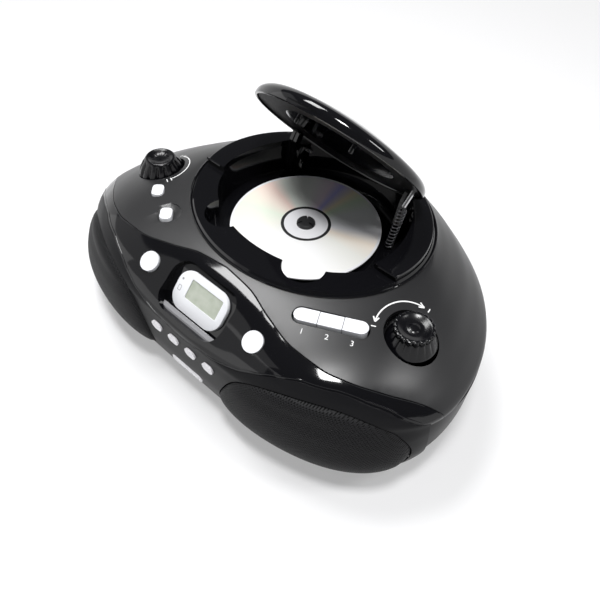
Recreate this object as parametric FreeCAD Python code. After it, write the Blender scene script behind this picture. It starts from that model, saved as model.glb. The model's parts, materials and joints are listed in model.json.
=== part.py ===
import FreeCAD, Part
import math
import os
from FreeCAD import Rotation, Vector

# Overall size, millimetres. The origin is on the floor under the middle of the case.
CASE_WIDTH = 350.0
CASE_FRONT = 124.0
CASE_REAR = 124.0
WALL = 2.5
SEAM = 0.3
FOOT_HEIGHT = 3.0
FOOT_RADIUS = 8.0
GRILLE_BULGE = 4.6
EDGE_HEIGHT = 68.0
DECK_HEIGHT = 104.0
SPLIT_Y = -54.0

# Compact disc and its spindle
DISC_Y = 14.0
DISC_TOP = 90.0
DISC_RADIUS = 60.0
DISC_HOLE = 7.5
DISC_THICK = 1.2
TABLE_RADIUS = 14.0
TABLE_THICK = 2.4
HUB_CLEARANCE = 0.2
HUB_HEIGHT = 2.6
SPINDLE_RADIUS = 1.0

# Deck: foot ellipse, top ellipse, lip and raised crown round the disc well
DECK_Y = 19.7
DECK_HALF_WIDTH = 101.4
DECK_HALF_DEPTH = 86.2
DECK_SLOPE = 2.4
DECK_LEDGE = 4.0
LIP_TOP = 106.5
CROWN_TOP = 111.5
CROWN_START_Y = -1.0
CROWN_ROUND = 2.4
WELL_HALF_WIDTH = 79.5
WELL_FRONT = 57.0
WELL_UNDERCUT = 5.5
WELL_REAR = 84.6
WELL_TAPER = 4.0
WELL_FLOOR = 84.0
WELL_WALL = 2.2
SCOOP_RADIUS = 16.0
SCOOP_X = 40.0
SCOOP_Y = -34.0

# Lid, drawn shut and then turned up to its stop
LID_Y = 22.0
LID_HALF_WIDTH = 75.5
LID_HALF_DEPTH = 66.4
LID_BOTTOM = 107.2
LID_TOP = 127.0
LID_DOME_RADIUS = 225.0
LID_WALL = 2.4
LID_EDGE_ROUND = 2.5
LINING_THICK = 2.0
LINING_RAISE = 1.2
LID_OPEN_DEG = 50.0
HINGE_Y = 75.2
HINGE_Z = 101.3
ARM_X = 57.0
ARM_THICK = 3.0
ARM_WIDTH = 7.0
ARM_GAP = 1.2
ARM_SEAT = (47.0, 57.5)
HOOK_RADIUS = 1.6
SWING_GAP = 0.6
SWING_STEPS = (0, 3, 6, 9, 12)
PIN_RADIUS = 1.6
PIN_FIT = 0.08
FINGER_NOTCH_WIDTH = 30.0
FINGER_NOTCH_DEPTH = 3.0

# Spring beside the right lid arm
SPRING_X = 62.5
SPRING_Y = 50.0
SPRING_RADIUS = 3.0
SPRING_WIRE = 0.5
SPRING_TURNS = 12
SPRING_TOP = 122.0

# Display window, tilted towards the user
DISPLAY_Y = -94.3
DISPLAY_Z = 88.2
DISPLAY_TILT = 47.7
LCD_WIDTH = 31.5
LCD_HEIGHT = 15.0
LCD_THICK = 2.0
BEZEL_WIDTH = 48.0
BEZEL_HEIGHT = 30.0
BEZEL_CORNER = 11.0
BEZEL_SHIFT = -2.4
BEZEL_THICK = 3.0
CUP_MARGIN = 4.5
CUP_WALL = 2.0
CUP_DEPTH = 7.0

# Keys and buttons
KEY_TRAVEL = 1.5
KEY_GAP = 0.35
KEY_STEM = 4.0
ROUND_X = 53.3
ROUND_Y = -98.8
ROUND_Z = 92.8
ROUND_TILT = 30.0
ROUND_RADIUS = 7.7
OVAL_X = (-27.7, -9.2, 9.2, 27.7)
OVAL_Z = 57.0
OVAL_WIDTH = 11.0
OVAL_HEIGHT = 8.0
PILL_Z = 28.0
PILL_WIDTH = 34.0
PILL_HEIGHT = 7.0
FRONT_KEY_PROUD = 1.2
SOURCE_X = 84.0
SOURCE_Y = -56.0
SOURCE_TURN = 27.3
SOURCE_LENGTH = 51.0
SOURCE_WIDTH = 11.0
SOURCE_TOP = 103.0
SQUARE_SIZE = 11.0
SQUARE_CORNER = 3.6
SQUARE_TURN = 42.0
SQUARE_PLACES = {"bass_button": (-103.4, -48.2, 101.4), "standby_button": (-75.9, -62.6, 102.6)}

# Knobs
KNOB_X = 128.6
KNOB_Y = -24.5
KNOB_TOP = 107.0
KNOB_SEAT = 91.0
KNOB_RADIUS = 18.0
KNOB_CAP_RADIUS = 12.5
KNOB_GAP = 1.6
SHAFT_RADIUS = 3.0
SHAFT_FIT = 0.06
POT_RADIUS = 8.5
POT_HEIGHT = 10.0

# Speakers
SPEAKER_X = 101.2
SPEAKER_Y = -97.5
SPEAKER_Z = 44.0
SPEAKER_TOE = 15.5
SPEAKER_RADIUS = 31.0
SPEAKER_DEPTH = 34.0

# Inside parts
BOARD_THICK = 1.6
BOARD_Z = 34.0
TRAY_HALF_WIDTH = 78.0
TRAY_FRONT = 40.0
TRAY_REAR = 88.0
TRAY_HEIGHT = 30.0
TRAY_WALL = 2.0
DOOR_CLEARANCE = 0.4

BOARD_HALF = 80.0
BOARD_FRONT = -46.0
BOARD_REAR = 30.0
TRANSFORMER_AT = (-112.0, 12.0, FOOT_HEIGHT + WALL + 0.1)
INLET_X = 40.0
INLET_Z = 52.0
INLET_WIDTH = 18.0
INLET_HEIGHT = 11.0
INLET_BACK = 97.0
JACK_X = -40.0
JACK_BARREL = 4.0
JACK_BORE = 1.8
JACK_BOTTOM = 103.0
AERIAL_Y = 100.0
AERIAL_Z = 66.0
AERIAL_RADIUS = 4.0
AERIAL_CLIPS = (-62.0, 62.0)
FOOT_PLACES = ((-100.0, -60.0), (100.0, -60.0), (-100.0, 42.0), (100.0, 42.0))

# Disc mechanism under the well floor
FRAME_Z = 68.0
FRAME_THICK = 2.0
FRAME_X0 = -84.0
FRAME_X1 = 26.0
FRAME_HALF = 34.0
ROD_Z = 75.0
ROD_RADIUS = 1.5
ROD_SPREAD = 20.0
ROD_X0 = -80.0
ROD_X1 = -10.0
BLOCK = 3.0
LENS_X = -24.0
LENS_RADIUS = 2.5
MOTOR_RADIUS = 9.0
MOTOR_HEIGHT = 11.0

# Case sections: height, side inset, front inset, rear inset, widest y, squareness, scoop, scoop width
LOWER_SECTIONS = (
    (3.0, 25.0, 21.0, 24.0, -25.0, 2.40, 0.0, 58.0),
    (8.0, 13.0, 13.0, 12.0, -26.0, 2.50, 1.0, 58.0),
    (18.0, 5.0, 7.0, 5.0, -28.0, 2.60, 2.0, 56.0),
    (40.0, 0.0, 1.5, 0.0, -31.0, 2.60, 4.0, 54.0),
    (57.0, 0.0, 1.5, 0.0, -31.0, 2.35, 4.0, 54.0),
    (70.0, 0.0, 1.5, 0.0, -31.0, 2.10, 4.0, 54.0),
)
UPPER_SECTIONS = (
    (70.0, 0.0, 1.5, 0.0, -31.0, 2.10, 4.0, 54.0),
    (76.0, 7.0, 2.5, 1.0, -31.0, 2.25, 7.0, 58.0),
    (82.0, 17.0, 5.0, 3.0, -31.0, 2.40, 12.0, 61.0),
    (87.0, 26.0, 9.5, 5.0, -29.5, 2.60, 15.0, 65.0),
    (92.0, 37.0, 14.0, 8.0, -27.0, 2.80, 16.0, 70.0),
    (97.0, 50.0, 25.0, 11.5, -17.0, 2.80, 12.0, 74.0),
    (101.0, 63.0, 40.0, 15.0, 0.0, 2.40, 5.0, 74.0),
    (DECK_HEIGHT, CASE_WIDTH / 2 - DECK_HALF_WIDTH - 0.4, CASE_FRONT + DECK_Y - DECK_HALF_DEPTH - 0.2,
     CASE_REAR - DECK_Y - DECK_HALF_DEPTH - 0.2, DECK_Y, 2.00, 0.0, 74.0),
)
SECTION_POINTS = 24
FAR = 400.0

# Front seam between mask and cabinet (x, z), and plan line between mask and cover (x, y), right half
SEAM_LINE = ((0, 68), (28, 70.5), (52, 76), (66, 81.5), (82, 87), (98, 90.5), (115, 90.2), (140, 84), (160, 75),
             (176, 66))
ARCH_LINE = ((0, -70), (25, -72.5), (50, -80), (79, -86), (100, -85), (121, -78.5), (142, -66), (160, -52),
             (178, -41))
GRILLE_LINE = ((38, 29), (46, 54), (60, 70), (85, 79), (118, 81), (145, 74), (162, 60), (168, 42), (160, 26),
               (130, 16), (90, 14), (55, 18))


def section(row, grow, lift):
    height, side, front, rear, widest, power, scoop, scoop_width = row
    points = []
    for step in range(SECTION_POINTS):
        angle = math.pi / 2 + 2 * math.pi * step / SECTION_POINTS
        across, along = math.cos(angle), math.sin(angle)
        half = CASE_WIDTH / 2 - side + grow
        reach = CASE_REAR - rear - widest + grow
        n = 2.0
        if along < 0:
            reach = CASE_FRONT - front + widest + grow
            n = power
        radius = (abs(across / half) ** n + abs(along / reach) ** n) ** (-1 / n)
        x, y = radius * across, widest + radius * along
        if along < 0:
            y += scoop * math.exp(-(abs(x) / scoop_width) ** 3)
        points.append(Vector(x, y, height + lift))
    curve = Part.BSplineCurve()
    curve.interpolate(Points=points, PeriodicFlag=True)
    return Part.Wire(curve.toShape())


def loft(rows, grow, lifts):
    return Part.makeLoft([section(row, grow, lift) for row, lift in zip(rows, lifts)], True, True)


def case_solid(grow, floor_lift, drop):
    lower = loft(LOWER_SECTIONS, grow, [floor_lift] + [0.0] * (len(LOWER_SECTIONS) - 1))
    upper = loft(UPPER_SECTIONS, grow, [0.0] + [-drop] * (len(UPPER_SECTIONS) - 1))
    return lower.fuse(upper).removeSplitter()


def section_front(row, x):
    height, side, front, rear, widest, power, scoop, scoop_width = row
    reach = CASE_FRONT - front + widest
    flat = (1 - (abs(x) / (CASE_WIDTH / 2 - side)) ** power) ** (1 / power)
    return widest - reach * flat + scoop * math.exp(-(abs(x) / scoop_width) ** 3)


def front_wall(x, z):
    """Place of the front face of the lower case at x and height z."""
    below = max(row for row in LOWER_SECTIONS if row[0] <= z)
    above = min(row for row in LOWER_SECTIONS if row[0] > z)
    share = (z - below[0]) / (above[0] - below[0])
    return (1 - share) * section_front(below, x) + share * section_front(above, x)


def box(x0, x1, y0, y1, z0, z1):
    return Part.makeBox(x1 - x0, y1 - y0, z1 - z0, Vector(x0, y0, z0))


def rod(radius, start, end):
    start, end = Vector(*start), Vector(*end)
    return Part.makeCylinder(radius, (end - start).Length, start, end - start)


def ring(outer, inner, start, end):
    return rod(outer, start, end).cut(rod(inner, start, end))


def mirror_x(shape):
    return shape.mirror(Vector(0, 0, 0), Vector(1, 0, 0))


def half_line(points):
    right = list(points)
    if right[0][0] == 0:
        right = right[1:]
        return [(-x, v) for x, v in reversed(right)] + [points[0]] + right
    return [(-x, v) for x, v in reversed(right)] + right


def smooth_edge(points, place):
    curve = Part.BSplineCurve()
    curve.interpolate([place(a, b) for a, b in points])
    return curve.toShape()


def region(points, place, side, depth):
    """Solid on one side of a smooth line, reaching FAR towards side."""
    edge = smooth_edge(points, place)
    first, last = place(*points[0]), place(*points[-1])
    corners = [last, last + side, first + side, first]
    lines = [Part.makeLine(a, b) for a, b in zip(corners, corners[1:])]
    return Part.Face(Part.Wire([edge] + lines)).extrude(depth)


def egg(half_width, front, rear, y, z):
    """Closed outline of two half ellipses that meet at the widest place."""
    centre = Vector(0, y, z)
    arcs = []
    for reach, turn in ((rear, 0), (front, math.pi)):
        if reach > half_width:
            ellipse = Part.Ellipse(centre + Vector(0, reach, 0), centre + Vector(-half_width, 0, 0), centre)
            turn -= math.pi / 2
        else:
            ellipse = Part.Ellipse(centre + Vector(half_width, 0, 0), centre + Vector(0, reach, 0), centre)
        arcs.append(Part.ArcOfEllipse(ellipse, turn, turn + math.pi).toShape())
    return Part.Wire(arcs)


def pill_face(length, width, corner):
    """Rounded rectangle centred on the origin, in the XY plane."""
    x, y = length / 2, width / 2
    r = min(corner, x, y)
    parts = []
    for sx, sy, start in ((1, 1, 0), (-1, 1, 90), (-1, -1, 180), (1, -1, 270)):
        centre = Vector(sx * (x - r), sy * (y - r), 0)
        parts.append(Part.makeCircle(r, centre, Vector(0, 0, 1), start, start + 90))
    edges = []
    for index, arc in enumerate(parts):
        edges.append(arc)
        nxt = parts[(index + 1) % 4]
        a, b = arc.Vertexes[-1].Point, nxt.Vertexes[0].Point
        if (a - b).Length > 1e-6:
            edges.append(Part.makeLine(a, b))
    return Part.Face(Part.Wire(edges))


def place(shape, rotation, at):
    shape = shape.copy()
    shape.Placement = FreeCAD.Placement(Vector(*at), rotation)
    return shape


def block(face, depth, rotation, at):
    return place(face.extrude(Vector(0, 0, depth)), rotation, at)


SQUARE_ROT = Rotation(Vector(0, 0, 1), SQUARE_TURN)
DISPLAY_TURN = Rotation(Vector(1, 0, 0), DISPLAY_TILT)
ROUND_TURN = Rotation(Vector(1, 0, 0), ROUND_TILT)
FRONT_TURN = Rotation(Vector(1, 0, 0), 90)
SOURCE_ROT = Rotation(Vector(0, 0, 1), SOURCE_TURN)


def along(rotation, at, distance):
    return tuple(Vector(*at) + rotation.multVec(Vector(0, 0, distance)))


def below_seam(drop):
    """Everything under the seam that runs over the front and level round the sides and the back."""
    line = half_line([(x, z - drop) for x, z in SEAM_LINE])
    front = region(line, lambda a, b: Vector(a, -FAR, b), Vector(0, 0, -FAR), Vector(0, FAR + SPLIT_Y, 0))
    rear = box(-FAR, FAR, SPLIT_Y, FAR, -FAR, EDGE_HEIGHT - drop)
    return front.fuse(rear)


def before_arch(shift):
    line = half_line([(x, y - shift) for x, y in ARCH_LINE])
    return region(line, lambda a, b: Vector(a, b, 0), Vector(0, -FAR, 0), Vector(0, 0, FAR))


def grille_prism(side, grow):
    centre_x = sum(x for x, z in GRILLE_LINE) / len(GRILLE_LINE)
    centre_z = sum(z for x, z in GRILLE_LINE) / len(GRILLE_LINE)
    points = []
    for x, z in GRILLE_LINE:
        out = Vector(x - centre_x, 0, z - centre_z)
        out.normalize()
        points.append(Vector(x, -FAR, z) + out * grow)
    curve = Part.BSplineCurve()
    curve.interpolate(Points=points, PeriodicFlag=True)
    prism = Part.Face(Part.Wire(curve.toShape())).extrude(Vector(0, FAR + SPLIT_Y, 0))
    return prism if side > 0 else mirror_x(prism)


def speaker_axis(side):
    toe = math.radians(SPEAKER_TOE)
    return Vector(side * math.sin(toe), -math.cos(toe), 0)


def speaker_point(side, out):
    return tuple(Vector(side * SPEAKER_X, SPEAKER_Y, SPEAKER_Z) + speaker_axis(side) * out)


def speaker_ring(side, outer):
    tube = ring(SPEAKER_RADIUS + 1, SPEAKER_RADIUS - 3, speaker_point(side, 0), speaker_point(side, 40))
    return tube.common(outer)


def speaker(side):
    profile = [(0, -SPEAKER_DEPTH), (18, -SPEAKER_DEPTH), (18, -SPEAKER_DEPTH + 10), (13, -SPEAKER_DEPTH + 10),
               (27, -2), (SPEAKER_RADIUS, -2), (SPEAKER_RADIUS, 0), (26, 0), (10, -14), (0, -11)]
    points = [Vector(r, 0, z) for r, z in profile]
    face = Part.Face(Part.makePolygon(points + points[:1]))
    solid = face.revolve(Vector(0, 0, 0), Vector(0, 0, 1), 360)
    turn = Rotation(Vector(0, 0, 1), speaker_axis(side))
    return place(solid, turn, speaker_point(side, -SEAM / 2))


def knob_pocket(side):
    x, y = side * KNOB_X, KNOB_Y
    return rod(KNOB_RADIUS + KNOB_GAP, (x, y, KNOB_SEAT - 0.4), (x, y, FAR))


def knob_cup(side, outer):
    x, y = side * KNOB_X, KNOB_Y
    cup = rod(KNOB_RADIUS + KNOB_GAP + WALL, (x, y, KNOB_SEAT - WALL), (x, y, KNOB_TOP + 5)).common(outer)
    return cup


def shaft_hole(side):
    x, y = side * KNOB_X, KNOB_Y
    return rod(SHAFT_RADIUS + SHAFT_FIT, (x, y, 0), (x, y, FAR))


def knob(side, flutes, groove):
    x, y = side * KNOB_X, KNOB_Y
    top = KNOB_TOP - KNOB_SEAT
    profile = [(0, 0), (KNOB_RADIUS, 0), (KNOB_RADIUS, 2.5), (KNOB_CAP_RADIUS + 2, top - 3),
               (KNOB_CAP_RADIUS, top), (KNOB_CAP_RADIUS - 3, top), (0, top - 1.2)]
    points = [Vector(r, 0, z) for r, z in profile]
    body = Part.Face(Part.makePolygon(points + points[:1])).revolve(Vector(0, 0, 0), Vector(0, 0, 1), 360)
    slope = math.degrees(math.atan2(KNOB_RADIUS - KNOB_CAP_RADIUS - 2, top - 5.5))
    for index in range(flutes):
        angle = 360.0 * index / flutes
        cut = Part.makeCylinder(groove, top * 2, Vector(KNOB_RADIUS + groove * 0.45, 0, -2), Vector(0, 0, 1))
        cut.rotate(Vector(KNOB_RADIUS, 0, 2.5), Vector(0, 1, 0), -slope)
        cut.rotate(Vector(0, 0, 0), Vector(0, 0, 1), angle)
        body = body.cut(cut)
    body.translate(Vector(x, y, KNOB_SEAT))
    shaft = rod(SHAFT_RADIUS, (x, y, KNOB_SEAT - POT_HEIGHT + 2), (x, y, KNOB_SEAT + 4))
    return body.fuse(shaft)


def pot(side):
    x, y = side * KNOB_X, KNOB_Y
    top = KNOB_SEAT - WALL
    can = rod(POT_RADIUS, (x, y, top - POT_HEIGHT), (x, y, top))
    lugs = box(x - 6, x + 6, y - POT_RADIUS - 5, y - POT_RADIUS + 1, top - 4, top - 3)
    return can.fuse(lugs).cut(rod(SHAFT_RADIUS + SHAFT_FIT, (x, y, top - POT_HEIGHT + 1.5), (x, y, top + 1)))


def button(face, rotation, at, proud):
    """Key cap whose top face lies at the given place, with its stem under the casing."""
    return block(face, -(proud + WALL + KEY_STEM), rotation, at)


def lid_outline(inset, z):
    return egg(LID_HALF_WIDTH - inset, LID_HALF_DEPTH - inset, LID_HALF_DEPTH - inset, LID_Y, z)


def lid_prism(inset, z0, z1):
    return Part.Face(lid_outline(inset, z0)).extrude(Vector(0, 0, z1 - z0))


def lid_dome(inset):
    ball = Part.makeSphere(LID_DOME_RADIUS - inset, Vector(0, LID_Y, LID_TOP - LID_DOME_RADIUS))
    return lid_prism(inset, LID_BOTTOM, LID_TOP + 1).common(ball)


def open_lid(shape):
    shape = shape.copy()
    shape.rotate(Vector(0, HINGE_Y, HINGE_Z), Vector(1, 0, 0), -LID_OPEN_DEG)
    return shape


def lid_shell():
    outer = lid_dome(0)
    inner = lid_dome(LID_WALL)
    inner = inner.fuse(lid_prism(LID_WALL, LID_BOTTOM - 1, LID_BOTTOM + 1))
    notch = box(-FINGER_NOTCH_WIDTH / 2, FINGER_NOTCH_WIDTH / 2, LID_Y - LID_HALF_DEPTH - 5,
                LID_Y - LID_HALF_DEPTH + FINGER_NOTCH_DEPTH - 1.6, LID_BOTTOM - 1, LID_BOTTOM + 3)
    return outer.cut(inner).cut(notch)


def lid_lining():
    z = LID_BOTTOM + LINING_RAISE
    plate = lid_prism(LID_WALL + 0.2, z, z + LINING_THICK)
    posts = [rod(1.6, (x, LID_Y + y, z - 6), (x, LID_Y + y, z + 0.5)) for x, y in ((-20, -34), (30, -34))]
    rib = ring(34, 32, (0, DISC_Y, z - 1.5), (0, DISC_Y, z + 0.5))
    for post in posts + [spring_hook(z)]:
        plate = plate.fuse(post)
    return plate.fuse(rib)


def spring_hook(seat):
    """Post under the lid that reaches the top of the spring when the lid is open."""
    turn = Rotation(Vector(1, 0, 0), LID_OPEN_DEG)
    tip = Vector(SPRING_X, HINGE_Y, HINGE_Z) + turn.multVec(Vector(0, SPRING_Y - HINGE_Y, SPRING_TOP - HINGE_Z))
    return rod(HOOK_RADIUS, tuple(tip), (tip.x, tip.y, seat + 0.5))


def lid_swing():
    """Room that the lid sweeps near the end of its travel."""
    room = None
    for step in SWING_STEPS:
        body = open_lid(lid_prism(-SWING_GAP, LID_BOTTOM - SWING_GAP, LID_TOP))
        body.rotate(Vector(0, HINGE_Y, HINGE_Z), Vector(1, 0, 0), step)
        room = body if room is None else room.fuse(body)
    return room


def arm_path():
    """Centre line of the gooseneck, lid shut, as (y, z) from the hinge outwards."""
    return ((HINGE_Y, HINGE_Z), (77.9, 87.0), (74.0, 81.0), (67.0, 86.0), (56.0, 101.0),
            (54.0, LID_BOTTOM + LINING_RAISE))


def lid_arm(side):
    plates = []
    for offset in (-1, 1):
        x = side * ARM_X + offset * (ARM_THICK + ARM_GAP) / 2 - ARM_THICK / 2
        solid = None
        path = arm_path()
        for (y0, z0), (y1, z1) in zip(path, path[1:]):
            run = Vector(0, y1 - y0, z1 - z0)
            across = Vector(0, -run.z, run.y).normalize() * (ARM_WIDTH / 2)
            a, b = Vector(x, y0, z0), Vector(x, y1, z1)
            face = Part.Face(Part.makePolygon([a - across, b - across, b + across, a + across, a - across]))
            piece = face.extrude(Vector(ARM_THICK, 0, 0))
            piece = piece.fuse(rod(ARM_WIDTH / 2, (x, y0, z0), (x + ARM_THICK, y0, z0)))
            solid = piece if solid is None else solid.fuse(piece)
        hole = rod(PIN_RADIUS + PIN_FIT, (x - 1, HINGE_Y, HINGE_Z), (x + ARM_THICK + 1, HINGE_Y, HINGE_Z))
        plates.append(solid.cut(hole))
    seat = LID_BOTTOM + LINING_RAISE
    half = ARM_THICK + ARM_GAP / 2
    top = box(side * ARM_X - half, side * ARM_X + half, ARM_SEAT[0], ARM_SEAT[1], seat - 2, seat)
    arm = plates[0].fuse(plates[1]).fuse(top)
    keep = box(-FAR, FAR, -FAR, FAR, -FAR, seat)
    return arm.common(keep)


def arm_slot(side):
    half = ARM_THICK + ARM_GAP / 2 + 1.5
    x = side * ARM_X
    return box(x - half, x + half, 48, HINGE_Y + 9, 60, LIP_TOP + 0.01)


def hinge_bracket(side):
    """Cheeks under the deck that hold the hinge pin, joined to the outside of the well."""
    half = ARM_THICK + ARM_GAP / 2 + 1.5
    cheeks = None
    for sign in (-1, 1):
        x = side * ARM_X + sign * (half + 1.5)
        cheek = box(x - 1.5, x + 1.5, HINGE_Y - 8, HINGE_Y + 5, HINGE_Z - 6, DECK_HEIGHT)
        cheeks = cheek if cheeks is None else cheeks.fuse(cheek)
    return cheeks


def hinge_pin(side):
    half = ARM_THICK + ARM_GAP / 2 + 4.5
    return rod(PIN_RADIUS, (side * ARM_X - half, HINGE_Y, HINGE_Z), (side * ARM_X + half, HINGE_Y, HINGE_Z))


def deck_ellipse(inset, z):
    return egg(DECK_HALF_WIDTH - inset, DECK_HALF_DEPTH - inset, DECK_HALF_DEPTH - inset, DECK_Y, z)


def well_outline(grow, z, undercut=0.0):
    return egg(WELL_HALF_WIDTH + grow, WELL_FRONT + grow + undercut, WELL_REAR + grow, DISC_Y, z)


def well_space():
    """Room for the disc. The front wall leans forward under the lip, so that the disc fits behind it."""
    low = well_outline(-WELL_TAPER, WELL_FLOOR, WELL_TAPER + WELL_UNDERCUT)
    return Part.makeLoft([low, well_outline(0, LIP_TOP)], True, True)


def well_tub(grow):
    low = well_outline(WELL_WALL - WELL_TAPER + grow, WELL_FLOOR - WELL_WALL, WELL_TAPER + WELL_UNDERCUT)
    return Part.makeLoft([low, well_outline(WELL_WALL + grow, DECK_HEIGHT)], True, True)


def cd_well():
    lip = Part.makeLoft([deck_ellipse(0, DECK_HEIGHT), deck_ellipse(DECK_SLOPE, LIP_TOP)], True, True)
    solid = lip.fuse(well_tub(0))
    for side in (-1, 1):
        solid = solid.fuse(hinge_bracket(side))
        scoop = rod(SCOOP_RADIUS + WELL_WALL, (side * SCOOP_X, SCOOP_Y, WELL_FLOOR + 4),
                    (side * SCOOP_X, SCOOP_Y, LIP_TOP - 0.5))
        solid = solid.fuse(scoop)
    solid = solid.cut(well_space())
    for side in (-1, 1):
        solid = solid.cut(rod(SCOOP_RADIUS, (side * SCOOP_X, SCOOP_Y, WELL_FLOOR + 6),
                              (side * SCOOP_X, SCOOP_Y, LIP_TOP + 1)))
        solid = solid.cut(arm_slot(side))
        half = ARM_THICK + ARM_GAP / 2 + 6
        x = side * ARM_X
        solid = solid.cut(rod(PIN_RADIUS, (x - half, HINGE_Y, HINGE_Z), (x + half, HINGE_Y, HINGE_Z)))
    solid = solid.cut(rod(TABLE_RADIUS + 1, (0, DISC_Y, 0), (0, DISC_Y, DISC_TOP)))
    slot = box(-66, -TABLE_RADIUS, DISC_Y - 8, DISC_Y + 8, 70, WELL_FLOOR + 1)
    return solid.cut(slot).cut(lid_swing())


def rear_crown():
    steps = ((0.0, LIP_TOP), (0.4, CROWN_TOP - CROWN_ROUND), (1.0, CROWN_TOP - CROWN_ROUND * 0.35),
             (CROWN_ROUND, CROWN_TOP))
    ring_solid = Part.makeLoft([deck_ellipse(DECK_SLOPE + inset, z) for inset, z in steps], True, True)
    hollow = Part.Face(well_outline(0, LIP_TOP - 1)).extrude(Vector(0, 0, CROWN_TOP - LIP_TOP + 2))
    half = box(-FAR, FAR, CROWN_START_Y, FAR, LIP_TOP, FAR)
    return ring_solid.cut(hollow).common(half).cut(lid_swing())


def arc_from(start, direction, end):
    """Arc that leaves start along direction and ends at end."""
    chord = end - start
    normal = direction.cross(chord)
    inward = normal.cross(direction).normalize()
    radius = chord.Length ** 2 / (2 * chord.dot(inward))
    centre = start + inward * radius
    middle = (start + end) * 0.5 - centre
    middle = centre + middle.normalize() * radius
    return Part.Arc(start, middle, end).toShape()


def biarc(start, leave, end, arrive):
    """Two tangent arcs from start to end that keep both end directions."""
    chord = end - start
    both = leave + arrive
    spread = 2 * (1 - leave.dot(arrive))
    reach = (-chord.dot(both) + math.sqrt(chord.dot(both) ** 2 + spread * chord.dot(chord))) / spread
    meet = (start + leave * reach + end - arrive * reach) * 0.5
    first = arc_from(start, leave, meet)
    second = arc_from(end, arrive * -1, meet)
    return [first, second]


def lid_spring():
    """Open coil from its seat on the well floor to the hook under the lid."""
    lead = 2 * SPRING_WIRE
    bottom = WELL_FLOOR + 0.2
    rise = (SPRING_TOP - bottom - 2 * lead) / SPRING_TURNS
    slope = Vector(0, 2 * math.pi * SPRING_RADIUS, rise).normalize()
    points, turns = [], 2 * SPRING_TURNS
    for half in range(turns + 1):
        sign = 1 if half % 2 == 0 else -1
        at = Vector(SPRING_X + sign * SPRING_RADIUS, SPRING_Y, bottom + lead + rise * half / 2)
        points.append((at, Vector(0, sign * slope.y, slope.z)))
    edges = []
    for (start, leave), (end, arrive) in zip(points, points[1:]):
        edges += biarc(start, leave, end, arrive)
    first, last = points[0], points[-1]
    edges.insert(0, Part.makeLine(first[0] - first[1] * lead, first[0]))
    edges.append(Part.makeLine(last[0], last[0] + last[1] * lead))
    path = Part.Wire(edges)
    profile = Part.Wire(Part.makeCircle(SPRING_WIRE, first[0] - first[1] * lead, first[1]))
    print("least gap between spring turns", round(least_gap(points, rise), 3))
    return path.makePipeShell([profile], True, False)


def least_gap(points, rise):
    """Clear space between neighbouring turns, measured on points of the helix."""
    samples = []
    for step in range(48):
        angle = 2 * math.pi * step / 24
        samples.append(Vector(SPRING_RADIUS * math.cos(angle), SPRING_RADIUS * math.sin(angle),
                              rise * step / 24))
    near = min((a - b).Length for i, a in enumerate(samples) for b in samples[i + 12:])
    return near - 2 * SPRING_WIRE


def spindle_hub():
    table = DISC_TOP - DISC_THICK
    solid = rod(TABLE_RADIUS, (0, DISC_Y, table - TABLE_THICK), (0, DISC_Y, table))
    solid = solid.fuse(rod(DISC_HOLE - HUB_CLEARANCE, (0, DISC_Y, table), (0, DISC_Y, DISC_TOP + HUB_HEIGHT)))
    hub_edges = [e for e in solid.Edges if e.BoundBox.ZMin > DISC_TOP + HUB_HEIGHT - 0.01]
    solid = solid.makeChamfer(1.2, hub_edges)
    for index in range(3):
        slot = box(3, 9, DISC_Y - 0.6, DISC_Y + 0.6, table + 0.3, DISC_TOP + HUB_HEIGHT + 1)
        slot.rotate(Vector(0, DISC_Y, 0), Vector(0, 0, 1), 120 * index)
        solid = solid.cut(slot)
    return solid.fuse(rod(SPINDLE_RADIUS, (0, DISC_Y, FRAME_Z + 3), (0, DISC_Y, table)))


def mount_frame():
    """Mechanism plate under the well, with its posts and the blocks that hold the sled rods."""
    under = WELL_FLOOR - WELL_WALL
    plate = box(FRAME_X0, FRAME_X1, DISC_Y - FRAME_HALF, DISC_Y + FRAME_HALF, FRAME_Z - FRAME_THICK, FRAME_Z)
    for x in (FRAME_X0 + 5, FRAME_X1 - 5):
        for y in (DISC_Y - FRAME_HALF + 5, DISC_Y + FRAME_HALF - 5):
            plate = plate.fuse(rod(3, (x, y, FRAME_Z), (x, y, under)))
    for x in (ROD_X0, ROD_X1 - BLOCK):
        for sign in (-1, 1):
            y = DISC_Y + sign * ROD_SPREAD
            plate = plate.fuse(box(x, x + BLOCK, y - 4, y + 4, FRAME_Z, ROD_Z + 3))
    return plate.cut(sled_rods())


def sled_rods():
    rods = [rod(ROD_RADIUS, (ROD_X0, DISC_Y + sign * ROD_SPREAD, ROD_Z), (ROD_X1, DISC_Y + sign * ROD_SPREAD, ROD_Z))
            for sign in (-1, 1)]
    return Part.makeCompound(rods)


def optical_pickup():
    low, high = ROD_Z - 3.5, ROD_Z + 3.5
    body = box(LENS_X - 10, LENS_X + 9.5, DISC_Y - ROD_SPREAD - 4, DISC_Y + ROD_SPREAD + 4, low, high)
    body = body.fuse(box(LENS_X - 6, LENS_X + 6, DISC_Y - 6, DISC_Y + 6, high, WELL_FLOOR - 1))
    for sign in (-1, 1):
        y = DISC_Y + sign * ROD_SPREAD
        body = body.cut(rod(ROD_RADIUS + SHAFT_FIT, (-FAR, y, ROD_Z), (FAR, y, ROD_Z)))
    return body


def spindle_motor():
    can = rod(MOTOR_RADIUS, (0, DISC_Y, FRAME_Z), (0, DISC_Y, FRAME_Z + MOTOR_HEIGHT))
    return can.cut(rod(SPINDLE_RADIUS + SHAFT_FIT, (0, DISC_Y, FRAME_Z + 2), (0, DISC_Y, FAR)))


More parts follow.
